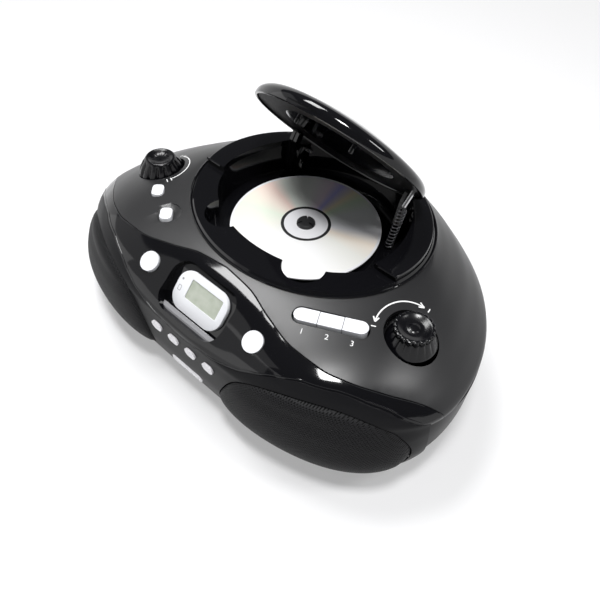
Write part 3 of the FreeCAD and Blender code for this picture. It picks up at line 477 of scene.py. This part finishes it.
# Light grey for the display's lip: a painted highlight along it.
SHELF_GREY_HIGHLIGHT = grain(material("shelf_grey_painted_highlight", (0.22, 0.22, 0.23), 0.2, coat=0.5), 300, 0.15, 0.25)
GLASS = mottled(material("lcd_glass", (0.4, 0.43, 0.36), 0.12, coat=0.8), 120,
                ((0.33, 0.37, 0.29), (0.42, 0.45, 0.38)))
FOIL = foil_and_painted_sheen(material("disc_foil", (0.8, 0.8, 0.8), 0.3, coat=0.25))
CLEAR = grain(material("disc_clear", (0.76, 0.76, 0.78), 0.2, coat=0.4), 60, 0.16, 0.24)
SPRING = grain(material("spring_steel", (0.16, 0.16, 0.17), 0.35, metallic=1.0), 400, 0.3, 0.4)
METAL = grain(material("plated_steel", (0.62, 0.62, 0.63), 0.28, metallic=1.0), 400, 0.2, 0.36, 0.02)
DARK = grain(material("dark_plastic", (0.014, 0.014, 0.015), 0.4), 900, 0.35, 0.5, 0.04)
RUBBER = grain(material("soft_rubber", (0.02, 0.02, 0.02), 0.8), 1200, 0.7, 0.9, 0.15)
BOARD = mottled(material("circuit_board", (0.05, 0.22, 0.1), 0.35), 90, ((0.03, 0.17, 0.07), (0.06, 0.25, 0.11)))
CONE = grain(material("paper_cone", (0.03, 0.03, 0.03), 0.8), 500, 0.7, 0.9, 0.2)
LENS = grain(material("pickup_glass", (0.25, 0.3, 0.6), 0.06, coat=1.0), 100, 0.04, 0.08)
INK = grain(material("print_white", (0.78, 0.78, 0.78), 0.5), 600, 0.45, 0.55)
LAMP = grain(material("lamp_lens", (0.30, 0.30, 0.31), 0.15, coat=0.5), 300, 0.1, 0.2)


# Case skins, cut from one smooth outer form

def case_rings(grow, low, high, step, drop):
    rings = []
    count = int((high - low) / step)
    for i in range(count + 1):
        z = low + (high - low) * i / count
        row = row_at(z)
        rings.append([(*case_point(row, 2 * math.pi * k / 200 - math.pi / 2, grow), z - drop) for k in range(200)])
    return rings


def region_front(shift):
    """Outline in x and z of what lies under the seam over the front."""
    line = [(x, z - shift) for x, z in mirrored(smooth_line(SEAM_LINE, 6))]
    return [(-FAR, line[0][1])] + line + [(FAR, line[-1][1]), (FAR, -FAR), (-FAR, -FAR)]


def region_arch(shift):
    line = [(x, y - shift) for x, y in mirrored(smooth_line(ARCH_LINE, 6))]
    return [(-FAR, line[0][1])] + line + [(FAR, line[-1][1]), (FAR, -FAR), (-FAR, -FAR)]


def grille_outline(side, grow):
    ring = closed_curve([(x * 1.0, z * 1.0) for x, z in GRILLE_LINE], 8)
    middle = sum(ring, Vector((0, 0))) / len(ring)
    return [(side * (p + (p - middle).normalized() * grow).x, (p + (p - middle).normalized() * grow).y) for p in ring]


DISPLAY_AT = (0, -94.3, 88.2)
DISPLAY_TILT = 47.7
BEZEL = (49.5, 30.5, 11.5)
BEZEL_SHIFT = (-3.1, -2.6)
LCD_SIZE = (31.5, 15.0)
CUP_SIZE = (62.0, 39.5, 12.0)
ROUND_AT = ((-53.3, -98.8, 92.8), (53.3, -98.8, 92.8))
ROUND_TILT = 30.0
ROUND_RADIUS = 7.7
SOURCE_AT = (84.0, -56.0, 103.0)
SOURCE_TURN = 27.3
SOURCE_SIZE = (51.0, 11.0)
SQUARE_SIZE = (9.7, 13.2)
SQUARE_SLIDE = -1.1
SQUARE_CORNER = 3.6
SQUARE_TURN = 42.0
SQUARE_AT = {"bass_button": (-103.4, -48.2, 101.4), "standby_button": (-75.9, -62.6, 102.6)}
OVAL_X = (-27.7, -9.2, 9.2, 27.7)
OVAL_Z = 57.0
OVAL_SIZE = (11.0, 8.0)
PILL_Z = 28.0
PILL_SIZE = (34.0, 7.0)

lcd_place = turned("X", DISPLAY_TILT, DISPLAY_AT)
display_place = turned("X", DISPLAY_TILT, lcd_place(*BEZEL_SHIFT, 0.0))
source_place = turned("Z", SOURCE_TURN, SOURCE_AT)


def grown_pill(length, width, corner, gap):
    return pill(length + 2 * gap, width + 2 * gap, corner + gap)


def square_places():
    places = {}
    for key, at in SQUARE_AT.items():
        slide = turned("Z", SQUARE_TURN, at)(0.0, SQUARE_SLIDE, 0.0)
        places[key] = turned("Z", SQUARE_TURN, slide)
    return places


def case_skins():
    outer = stack("outer", case_rings(0.0, 3.0, DECK_HEIGHT, 1.7, 0.0))
    inner = stack("inner", case_rings(-WALL, 3.0, DECK_HEIGHT, 3.4, WALL)[2:])
    shell = carve(duplicate(outer, "shell"), inner)

    front = carve(duplicate(shell, "front_cabinet_skin"),
                  prism("t", region_front(SEAM), -FAR, SPLIT_Y - SEAM, front_plane), "INTERSECT")
    for side in (-1, 1):
        tool = prism("t", grille_outline(side, 0.9), -FAR, SPLIT_Y, front_plane)
        front = carve(front, tool)
        discard(tool)
    for x in OVAL_X:
        tool = prism("t", [(x + a, OVAL_Z + b) for a, b in grown_pill(*OVAL_SIZE, 9, KEY_GAP)], -FAR, -90, front_plane)
        carve(front, tool)
        discard(tool)
    tool = prism("t", [(a, PILL_Z + b) for a, b in grown_pill(*PILL_SIZE, 9, KEY_GAP)], -FAR, -90, front_plane)
    carve(front, tool)
    discard(tool)

    below = prism("below", region_front(0.0), -FAR, SPLIT_Y, front_plane)
    behind = prism("behind", [(-FAR, SPLIT_Y - 1), (FAR, SPLIT_Y - 1), (FAR, FAR), (-FAR, FAR)], -FAR, EDGE_HEIGHT, plan)
    upper = carve(carve(duplicate(shell, "upper"), below), behind)
    mask = carve(duplicate(upper, "front_mask_skin"), prism("t", region_arch(SEAM), 0, FAR, plan), "INTERSECT")
    cover = carve(duplicate(upper, "top_cover_skin"), prism("t", region_arch(0.0), 0, FAR, plan))

    cup_hole = prism("t", pill(*CUP_SIZE), -30, 40, display_place)
    carve(mask, cup_hole)
    for at in ROUND_AT:
        tool = prism("t", circle(0, 0, ROUND_RADIUS + KEY_GAP), -20, 20, turned("X", ROUND_TILT, at))
        carve(mask, tool)
        discard(tool)
    deck = [(x * 1.0, DECK_Y + y) for x, y in
            [((DECK_HALF_WIDTH - DECK_LEDGE) * math.cos(a), (DECK_HALF_DEPTH - DECK_LEDGE) * math.sin(a))
             for a in [2 * math.pi * i / 120 for i in range(120)]]]
    carve(cover, prism("t", deck, 80, 120, plan))
    for side in (-1, 1):
        carve(cover, prism("t", circle(side * KNOB_X, KNOB_Y, KNOB_RADIUS + KNOB_GAP), 60, FAR, plan))
    carve(cover, prism("t", grown_pill(*SOURCE_SIZE, 9, KEY_GAP + 1.0), -20, 20, source_place))
    for place in square_places().values():
        carve(cover, prism("t", [place(a, b, 0)[:2] for a, b in grown_pill(*SQUARE_SIZE, SQUARE_CORNER, KEY_GAP + 0.2)],
                           80, 120, plan))
    x, y, z = SQUARE_AT["standby_button"]
    dish = [(0.01, -2.2), (5, -1.9), (8.5, -1.1), (11.6, 0.5), (11.8, 3), (0.01, 3)]
    carve(cover, lathe("t", dish, (x, y, top_z(x, y)), 48))

    cup = prism("display_cup", grown_pill(*CUP_SIZE, 2), -8, 12, display_place)
    carve(cup, prism("t", pill(*CUP_SIZE), -3.2, 40, display_place))
    carve(cup, inner, "INTERSECT")
    settle(cup, "chassis", GLOSS)
    for name, side in (("volume_pocket", -1), ("tuning_pocket", 1)):
        pocket = prism(name, circle(side * KNOB_X, KNOB_Y, KNOB_RADIUS + KNOB_GAP + WALL), KNOB_SEAT - WALL, FAR, plan)
        carve(pocket, prism("t", circle(side * KNOB_X, KNOB_Y, KNOB_RADIUS + KNOB_GAP), KNOB_SEAT - 0.4, FAR, plan))
        carve(pocket, prism("t", circle(side * KNOB_X, KNOB_Y, 3.1), 60, FAR, plan))
        carve(pocket, inner, "INTERSECT")
        settle(pocket, "chassis", POCKET)
    settle(front, "chassis", CABINET, "front_cabinet")
    settle(mask, "chassis", GLOSS, "front_mask")
    settle(cover, "chassis", SATIN, "top_cover")
    for obj in [o for o in bpy.data.objects if o.name.split(".")[0] in ("t", "outer", "inner", "shell", "below",
                                                                      "behind", "upper")]:
        discard(obj)


def grille(side, name):
    """Bulged perforated cover, highest in the middle and rolled in at its edge."""
    outline = grille_outline(side, -0.2)
    middle = [sum(p[k] for p in outline) / len(outline) for k in (0, 1)]
    rings = []
    for step in range(25):
        share = 1 - step / 25
        bulge = 5.6 * (1 - share ** 4) ** 0.6 + 0.2
        ring = []
        for x, z in outline:
            px, pz = middle[0] + (x - middle[0]) * share, middle[1] + (z - middle[1]) * share
            y = front_y(px, pz)
            slope_x = (front_y(px + 1, pz) - front_y(px - 1, pz)) / 2
            slope_z = (front_y(px, pz + 1) - front_y(px, pz - 1)) / 2
            out = Vector((slope_x, -1, slope_z)).normalized() * bulge
            ring.append((px + out.x, y + out.y, pz + out.z))
        rings.append(ring)
    inside = [[(x, y + 3.0, z) for x, y, z in rings[0]]]
    obj = stack(name, inside + rings)
    settle(obj, "chassis", MESH, name.replace("_cloth", ""), sharp=80)


# Knobs

def volume_knob():
    top = KNOB_TOP - KNOB_SEAT
    profile = [(3, 0), (18.9, 0), (19.3, 0.6), (19.2, 2.6), (18.6, 4.6), (17.6, 7), (16.2, 9.8), (14.8, 12), (13.4, 13.8),
               (12.6, 15.2), (11.8, top + 0.1), (11.0, top + 0.5), (10.2, top + 0.4), (8.4, top - 0.9), (6, top - 1.9),
               (3, top - 2.2), (0.01, top - 2.2)]

    def depth(radius, z):
        return 1.9 * max(0.0, min(1.0, (z - 1.2) / 1.5)) * max(0.0, min(1.0, (14.6 - z) / 2))

    obj = lathe("volume_knob_cap", profile, (-KNOB_X, KNOB_Y, KNOB_SEAT), 192, 14, depth)
    settle(obj, "volume", KNOB, "volume_knob", sharp=50)


def tuning_knob():
    top = KNOB_TOP - KNOB_SEAT
    profile = [(3, 0), (17.4, 0), (18, 0.5), (17.9, 1.4), (17.2, 2.2), (13.6, 10.6), (12.8, 11.2), (13.2, 11.6), (14, 12),
               (14.2, 12.8), (14.0, top - 0.5), (13.2, top), (11.5, top), (10.6, top - 0.5), (7.5, top - 1.7), (4.2, top - 2.2),
               (3.6, top - 1.7), (2.4, top - 1.5), (0.01, top - 1.5)]

    def depth(radius, z):
        if z > 11.4 and radius > 12.0:
            return 1.1
        return 0.9 if 2.4 < z < 10.8 else 0.0

    obj = lathe("tuning_knob_cap", profile, (KNOB_X, KNOB_Y, KNOB_SEAT), 216, 18, depth)
    settle(obj, "tuning", KNOB, "tuning_knob", sharp=50)


# Compact disc

def compact_disc():
    low, high = DISC_TOP - 1.2, DISC_TOP
    parts = (("disc_rim", 58.0, 60.0, CLEAR), ("disc_foil_band", 20.0, 58.0, FOIL), ("disc_stacking_band", 17.5, 20.0, DARK),
             ("disc_middle", 7.5, 17.5, CLEAR))
    for name, inside, outside, mat in parts:
        profile = [(inside, low), (outside - 0.05, low), (outside, low + 0.1), (outside, high - 0.1), (outside - 0.05, high),
                   (inside, high)]
        rings = [[(r * math.cos(2 * math.pi * i / 180), DISC_Y + r * math.sin(2 * math.pi * i / 180), z)
                  for i in range(180)] for r, z in profile + profile[:1]]
        obj = stack(name, rings, cap=False)
        settle(obj, "spindle", mat, "compact_disc")


# Prints on the cover

def ribbon(name, points, width, lift=0.06):
    """Thin flat print that follows the cover through points in plan."""
    verts, faces = [], []
    for i, (x, y) in enumerate(points):
        ahead = Vector(points[min(i + 1, len(points) - 1)]) - Vector(points[max(i - 1, 0)])
        across = Vector((-ahead.y, ahead.x)).normalized() * width / 2
        for sign in (1, -1):
            px, py = x + sign * across.x, y + sign * across.y
            verts.append((px, py, top_z(px, py) + lift))
        if i:
            faces.append((2 * i - 2, 2 * i - 1, 2 * i + 1, 2 * i))
    return new_object(name, verts, faces)


def arc_points(centre, radius, start, end, count=30):
    return [(centre[0] + radius * math.cos(math.radians(start + (end - start) * i / count)),
             centre[1] + radius * math.sin(math.radians(start + (end - start) * i / count))) for i in range(count + 1)]


def figure(name, text, at, size, turn):
    """Plain numeral laid on the cover."""
    curve = bpy.data.curves.new(name, "FONT")
    curve.body = text
    curve.size = size * MM
    curve.align_x = "CENTER"
    curve.align_y = "CENTER"
    obj = bpy.data.objects.new(name, curve)
    bpy.context.scene.collection.objects.link(obj)
    bpy.context.view_layer.update()
    mesh = bpy.data.meshes.new_from_object(obj.evaluated_get(bpy.context.evaluated_depsgraph_get()))
    bpy.data.objects.remove(obj)
    spin = Matrix.Rotation(math.radians(turn), 2)
    for vertex in mesh.vertices:
        flat = spin @ Vector((vertex.co.x, vertex.co.y)) / MM + Vector(at)
        vertex.co = Vector((flat.x, flat.y, top_z(flat.x, flat.y) + 0.08)) * MM
    made = bpy.data.objects.new(name, mesh)
    bpy.context.scene.collection.objects.link(made)
    return made


def printed(obj):
    settle(obj, "chassis", INK)


def prints():
    left, right = (-KNOB_X, KNOB_Y), (KNOB_X, KNOB_Y)
    printed(ribbon("volume_arc", arc_points(left, 23.6, -20, 90), 0.9))
    for index, angle in enumerate((-28, -20, 90, 98)):
        reach = math.radians(angle)
        ends = [(left[0] + r * math.cos(reach), left[1] + r * math.sin(reach)) for r in (22.4, 26.4)]
        printed(ribbon("volume_tick_%d" % index, ends, 0.8))
    printed(ribbon("tuning_arc", arc_points(right, 26.0, 107, 204), 1.0))
    for index, (angle, sign) in enumerate(((107, 1), (204, -1))):
        tip = arc_points(right, 26.0, angle, angle, 1)[0]
        back = math.radians(angle + sign * 90)
        for k, spread in enumerate((-0.5, 0.5)):
            end = (tip[0] + 4.2 * math.cos(back + spread), tip[1] + 4.2 * math.sin(back + spread))
            printed(ribbon("tuning_arrow_%d_%d" % (index, k), [tip, end], 1.0))
        beyond = math.radians(angle - sign * 8)
        ends = [(right[0] + r * math.cos(beyond), right[1] + r * math.sin(beyond)) for r in (24.6, 28.0)]
        printed(ribbon("tuning_tick_%d" % index, ends, 0.8))
    for index in range(3):
        x = -SOURCE_SIZE[0] / 3 + SOURCE_SIZE[0] / 3 * index
        at = source_place(x, -12.0, 0)
        printed(figure("source_number_%d" % (index + 1), str(index + 1), at[:2], 5.6, SOURCE_TURN))


# Carried-over nodes

def dress(node, mat, bevel=0.0, angle=35):
    obj = nodes[node]
    obj.data.materials.clear()
    obj.data.materials.append(mat)
    weld = obj.modifiers.new("weld", "WELD")
    weld.merge_threshold = 1e-6
    obj.data.shade_smooth()
    if bevel:
        edge = obj.modifiers.new("edge", "BEVEL")
        edge.width = bevel * MM
        edge.segments = 3
        edge.limit_method = "ANGLE"
        edge.angle_limit = math.radians(angle)
        edge.use_clamp_overlap = True
        edge.harden_normals = False
    normals = obj.modifiers.new("normals", "WEIGHTED_NORMAL")
    normals.keep_sharp = True
    normals.weight = 80


def dress_all():
    for key in ("previous_button", "next_button"):
        dress(key, WHITE, 1.0)
    for index in range(1, 5):
        dress("function_button_%d" % index, PEARL, 0.9)
    dress("memory_button", PEARL, 0.9)
    for index in range(1, 4):
        dress("source_key_%d" % index, WHITE, 0.5)
    dress("lcd_panel", GLASS, 0.1)
    for node in ("cd_well", "rear_crown", "lid_arm_left", "lid_arm_right"):
        dress(node, GLOSS, 0.7)
    dress("rear_cabinet", CABINET, 0.3)
    for node in ("spindle_hub", "battery_tray", "mains_inlet", "aux_jack", "optical_pickup", "ferrite_aerial"):
        dress(node, DARK, 0.15)
    dress("battery_door", SATIN, 0.2)
    for node in ("transformer", "spindle_motor", "mechanism_frame", "sled_rods", "battery_contacts", "hinge_pin_left",
                 "hinge_pin_right", "volume_control", "tuning_capacitor"):
        dress(node, METAL)
    dress("main_board", BOARD)
    dress("pickup_lens", LENS, 0.1)
    dress("rubber_feet", RUBBER, 0.4)
    for name in ("left", "right"):
        dress("speaker_" + name, CONE)


def bezel_marks():
    """Small lamp and a plain outline printed beside the display."""
    dot = prism("signal_lamp", circle(-20.6, 6.2, 0.9, 24), -0.4, 0.15, display_place)
    settle(dot, "chassis", LAMP)
    outer = [display_place(a - 20.1, b - 1.0, 0.06) for a, b in pill(3.0, 4.4, 0.6, 4)]
    inner = [display_place(a - 20.1, b - 1.0, 0.06) for a, b in pill(2.2, 3.6, 0.4, 4)]
    settle(stack("display_outline", [outer, inner], cap=False), "chassis", LAMP)


def rounded_cap(name, outline, low, place, edge):
    """Flat piece with a rolled upper edge; outline(grow) gives its shape."""
    steps = ((0.0, low), (0.0, -edge), (-0.3 * edge, -0.3 * edge), (-edge, 0.0))
    return stack(name, [[place(a, b, z) for a, b in outline(grow)] for grow, z in steps])


def display_plate():
    plate = rounded_cap("display_plate", lambda grow: grown_pill(*BEZEL, grow), -3.0, display_place, 1.0)
    window = prism("t", pill(*LCD_SIZE, 0.8, 4), -0.9, 5, lcd_place)
    carve(plate, window)
    discard(window)
    settle(plate, "chassis", WHITE, "display_bezel")


def square_keys():
    for key, place in square_places().items():
        cap = rounded_cap(key + "_cap", lambda grow: grown_pill(*SQUARE_SIZE, SQUARE_CORNER, grow), -7.0,
                          lambda a, b, z: place(a, b, z + 0.8), 1.2)
        settle(cap, key + "_body", WHITE, key)


def display_shelf():
    """Bright lip in front of the display, on the lower wall of its cup; its light grey is a painted highlight along the
    lip.
    """
    section = ((-16.2, -1.0), (-16.2, -0.6), (-18.4, 2.2), (-20.6, 2.2), (-20.6, -1.0))
    rings = [[display_place(a, b, c) for b, c in section] for a in (-29.5, -27.0, 28.5, 30.5)]
    settle(stack("display_shelf", rings), "chassis", SHELF_GREY_HIGHLIGHT)


def tube(name, points, radius, closed=False, sides=10):
    """Thin round bead along a path."""
    count = len(points)
    rings = []
    for i, point in enumerate(points):
        if closed:
            ahead = Vector(points[(i + 1) % count]) - Vector(points[i - 1])
        else:
            ahead = Vector(points[min(i + 1, count - 1)]) - Vector(points[max(i - 1, 0)])
        side = ahead.cross(Vector((0, 0, 1))).normalized()
        over = side.cross(ahead).normalized()
        angles = [2 * math.pi * k / sides for k in range(sides)]
        rings.append([Vector(point) + (side * math.cos(a) + over * math.sin(a)) * radius for a in angles])
    if closed:
        rings.append(rings[0])
    return stack(name, rings, cap=not closed)


def beads():
    """Fine rounded edges along the seams between the casing parts."""
    arch = [(x, y - 0.7, top_z(x, y - 0.7) - 0.25) for x, y in mirrored(smooth_line(ARCH_LINE, 8)) if abs(x) < 162]
    settle(tube("arch_bead", arch, 0.45), "chassis", GLOSS)
    seam = [(x, front_y(x, z + 0.7) + 0.25, z + 0.7) for x, z in mirrored(smooth_line(SEAM_LINE, 8)) if abs(x) < 168]
    settle(tube("seam_bead", seam, 0.45), "chassis", GLOSS)
    foot = [((DECK_HALF_WIDTH + 0.1) * math.cos(2 * math.pi * i / 160),
             DECK_Y + (DECK_HALF_DEPTH + 0.1) * math.sin(2 * math.pi * i / 160), DECK_HEIGHT + 0.6) for i in range(160)]
    settle(tube("collar_bead", foot, 0.8, closed=True), "chassis", GLOSS)


def crown_edges():
    """Rounded front edges of the raised rear part of the collar."""
    for name, side in (("crown_edge_left", -1), ("crown_edge_right", 1)):
        edge = [(side * x, -1.0, 110.7) for x in (80.5, 84, 88, 92, 96)]
        settle(tube(name, edge, 0.9), "chassis", GLOSS)


def opened(obj):
    """Swings a piece drawn with the lid shut to where the open lid holds it."""
    hinge = Vector((0, HINGE_Y, HINGE_Z)) * MM
    swing = Matrix.Rotation(-math.radians(LID_OPEN_DEG), 3, "X")
    for vertex in obj.data.vertices:
        vertex.co = swing @ (vertex.co - hinge) + hinge


def lid_skin():
    """Domed cap with a rolled edge, drawn shut and then opened about its hinge."""
    def outline(inset, height):
        ring = []
        for i in range(160):
            angle = 2 * math.pi * i / 160
            x = (LID_HALF_WIDTH - inset) * math.cos(angle)
            y = LID_Y + (LID_HALF_DEPTH - inset) * math.sin(angle)
            ring.append((x, y, height(x, y)))
        return ring

    def dome(x, y):
        return LID_TOP - LID_DOME_RADIUS + math.sqrt(LID_DOME_RADIUS ** 2 - x * x - (y - LID_Y) ** 2)

    rings = [outline(inset, lambda x, y, z=z: z) for inset, z in (
        (LID_WALL, LID_BOTTOM + 2.2), (LID_WALL, LID_BOTTOM + 0.4), (LID_WALL - 0.3, LID_BOTTOM),
        (0.9, LID_BOTTOM), (0.25, LID_BOTTOM + 0.4), (0.0, LID_BOTTOM + 1.2))]
    for inset in (0.02, 0.3, 0.8, 1.5, 2.4, 3.5, 4.7, LID_EDGE_ROUND, 8.0, 12.0, 18.0, 26.0, 36.0, 48.0, 58.0, 65.0):
        left = max(0.0, LID_EDGE_ROUND - inset)
        drop = 0.8 * (LID_EDGE_ROUND - math.sqrt(LID_EDGE_ROUND ** 2 - left ** 2))
        rings.append(outline(inset, lambda x, y, drop=drop: dome(x, y) - drop))
    lid = stack("lid_cap", rings)
    front = LID_Y - LID_HALF_DEPTH
    half = FINGER_NOTCH_WIDTH / 2
    notch = prism("t", [(-half, front - 5), (half, front - 5), (half, front + 1.4), (-half, front + 1.4)],
                  LID_BOTTOM - 1, LID_BOTTOM + 3, plan)
    carve(lid, notch)
    discard(notch)
    opened(settle(lid, "lid", GLOSS, "lid_shell", sharp=40))


def lid_lining():
    """Smooth floor of the lid with its two posts and the catch for the spring."""
    def outline(inset, z):
        return [((LID_HALF_WIDTH - inset) * math.cos(a), LID_Y + (LID_HALF_DEPTH - inset) * math.sin(a), z)
                for a in [2 * math.pi * i / 160 for i in range(160)]]

    low = LID_BOTTOM + LINING_RAISE
    steps = ((2.7, 2.0), (2.7, 0.4), (3.1, 0.0), (8.0, 0.5), (20.0, 0.9), (40.0, 1.2), (60.0, 1.3))
    opened(settle(stack("lid_lining_plate", [outline(inset, low + z) for inset, z in steps]),
                  "lid", LINING, "lid_lining"))
    profile = [(1.7, 1.6), (1.7, -4.6), (1.5, -5.6), (1.0, -6.0), (0.01, -6.1)]
    for index, at in enumerate(((-20.0, -12.0), (30.0, -12.0))):
        opened(settle(lathe("lid_post_%d" % index, profile, (*at, low), 24), "lid", GLOSS, "lid_lining"))
    seat = Matrix.Rotation(math.radians(LID_OPEN_DEG), 3, "X") @ Vector((0, SPRING_Y - HINGE_Y, SPRING_TOP - HINGE_Z))
    reach = HINGE_Z + seat.z - low
    catch = lathe("spring_catch", [(HOOK_RADIUS, 1.0), (HOOK_RADIUS, reach + 0.3), (HOOK_RADIUS - 0.3, reach), (0.01, reach)],
                  (SPRING_X, HINGE_Y + seat.y, low), 24)
    opened(settle(catch, "lid", METAL, "lid_lining"))


def lid_coil():
    """Coil from the floor of the well to the catch, drawn in one fixed shape with the lid open."""
    foot = Vector(SPRING_FOOT)
    rise = Vector((SPRING_X, SPRING_Y, SPRING_TOP - 1.0)) - foot
    steps = 24 * SPRING_TURNS
    points = []
    for i in range(steps + 1):
        angle = 2 * math.pi * i / 24
        points.append(foot + rise * i / steps + Vector((math.cos(angle), math.sin(angle), 0)) * SPRING_RADIUS)
    coil = settle(tube("lid_coil", points, SPRING_WIRE, sides=8), "chassis", SPRING, "lid_spring", sharp=80)
    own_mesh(coil)


def hub_claws():
    """Three small pale catches round the middle of the turntable."""
    for index in range(3):
        place = turned("Z", 120 * index + 30, (0, DISC_Y, DISC_TOP))
        tool = prism("hub_claw_%d" % index, [(3.4, -0.7), (6.4, -0.7), (6.4, 0.7), (3.4, 0.7)], 0.2, 2.0, place)
        settle(tool, "spindle", CLEAR)


# Studio: pale floor, soft lamps and the camera

def studio():
    scene = bpy.context.scene
    scene.view_settings.view_transform = "Standard"
    sweep = [(1.0, 0.0), (600.0, 0.0), (3200.0, 0.0), (3550.0, 70.0), (3800.0, 260.0), (3950.0, 550.0), (4000.0, 900.0),
             (4000.0, 2000.0)]
    floor = stack("studio_floor", [[(r * math.cos(2 * math.pi * i / 96), r * math.sin(2 * math.pi * i / 96), z)
                                    for i in range(96)] for r, z in sweep], cap=False)
    hub = [(0, 0, 0)] + [tuple(floor.data.vertices[i].co / MM) for i in range(96)]
    new_object("studio_floor_middle", hub, [(0, i + 1, (i + 1) % 96 + 1) for i in range(96)])
    pale = bpy.data.materials.new("studio_floor")
    pale.use_nodes = True
    tree = pale.node_tree
    shader = tree.nodes["Principled BSDF"]
    shader.inputs["Base Color"].default_value = (0.86, 0.86, 0.87, 1)
    shader.inputs["Roughness"].default_value = 0.9
    shader.inputs["Specular IOR Level"].default_value = 0.0
    glow = add(pale, "ShaderNodeEmission", Strength=1.0)
    mix = add(pale, "ShaderNodeMixShader")
    path = add(pale, "ShaderNodeLightPath")
    share = add(pale, "ShaderNodeMath", operation="MULTIPLY")
    seen = add(pale, "ShaderNodeMath", operation="ADD")
    shown = add(pale, "ShaderNodeMath", operation="ADD", use_clamp=True)
    link(pale, path, "Is Camera Ray", seen, 0)
    tree.links.new(path.outputs["Is Glossy Ray"], seen.inputs[1])
    link(pale, seen, "Value", shown, 0)
    tree.links.new(path.outputs["Is Transmission Ray"], shown.inputs[1])
    link(pale, shown, "Value", share, 0)
    where = add(pale, "ShaderNodeTexCoord")
    far = add(pale, "ShaderNodeVectorMath", operation="LENGTH")
    link(pale, where, "Object", far, "Vector")
    fade = add(pale, "ShaderNodeMapRange")
    for key, value in (("From Min", 0.45), ("From Max", 1.4), ("To Min", 0.35), ("To Max", 1.0)):
        fade.inputs[key].default_value = value
    link(pale, far, "Value", fade, "Value")
    tree.links.new(fade.outputs["Result"], share.inputs[1])
    tree.links.new(share.outputs[0], mix.inputs["Fac"])
    tree.links.new(shader.outputs["BSDF"], mix.inputs[1])
    tree.links.new(glow.outputs["Emission"], mix.inputs[2])
    tree.links.new(mix.outputs["Shader"], tree.nodes["Material Output"].inputs["Surface"])
    floor.data.materials.append(pale)
    bpy.data.objects["studio_floor_middle"].data.materials.append(pale)

    world = bpy.data.worlds.new("studio")
    scene.world = world
    world.use_nodes = True
    world.node_tree.nodes["Background"].inputs["Color"].default_value = (0.9, 0.92, 0.95, 1)
    world.node_tree.nodes["Background"].inputs["Strength"].default_value = 0.09

    target = Vector((0.0, 0.0, 0.09))
    for name, bearing, height, size, depth, power in (
            ("overhead", 168, 66, 0.58, 0.36, 12.0), ("right", 27, 48, 0.22, 0.34, 3.6),
            ("left_front", -145, 26, 1.4, 0.9, 2.0), ("front_top", -48, 78, 0.24, 0.24, 11.0)):
        light = bpy.data.lights.new(name, "AREA")
        light.shape = "RECTANGLE"
        light.size, light.size_y = size, depth
        light.energy = power
        lamp = bpy.data.objects.new(name, light)
        scene.collection.objects.link(lamp)
        flat = math.cos(math.radians(height))
        aim = Vector((flat * math.cos(math.radians(bearing)), flat * math.sin(math.radians(bearing)),
                      math.sin(math.radians(height))))
        lamp.location = target + aim * 1.25
        lamp.rotation_euler = aim.to_track_quat("Z", "Y").to_euler()

    data = bpy.data.cameras.new("camera")
    data.lens = 36.15
    data.sensor_width = 36.0
    camera = bpy.data.objects.new("camera", data)
    scene.collection.objects.link(camera)
    right, up, back = ((0.74072, 0.6709, 0.03511), (-0.52782, 0.54882, 0.64823), (0.41563, -0.49869, 0.76064))
    turn = Matrix((right, up, back)).transposed().to_4x4()
    camera.matrix_world = Matrix.Translation((0.22697, -0.26057, 0.41354)) @ turn
    scene.camera = camera


case_skins()
grille(-1, "speaker_grille_left_cloth")
grille(1, "speaker_grille_right_cloth")
volume_knob()
tuning_knob()
compact_disc()
prints()
bezel_marks()
display_plate()
square_keys()
display_shelf()
beads()
crown_edges()
lid_skin()
lid_lining()
lid_coil()
hub_claws()
dress_all()
studio()
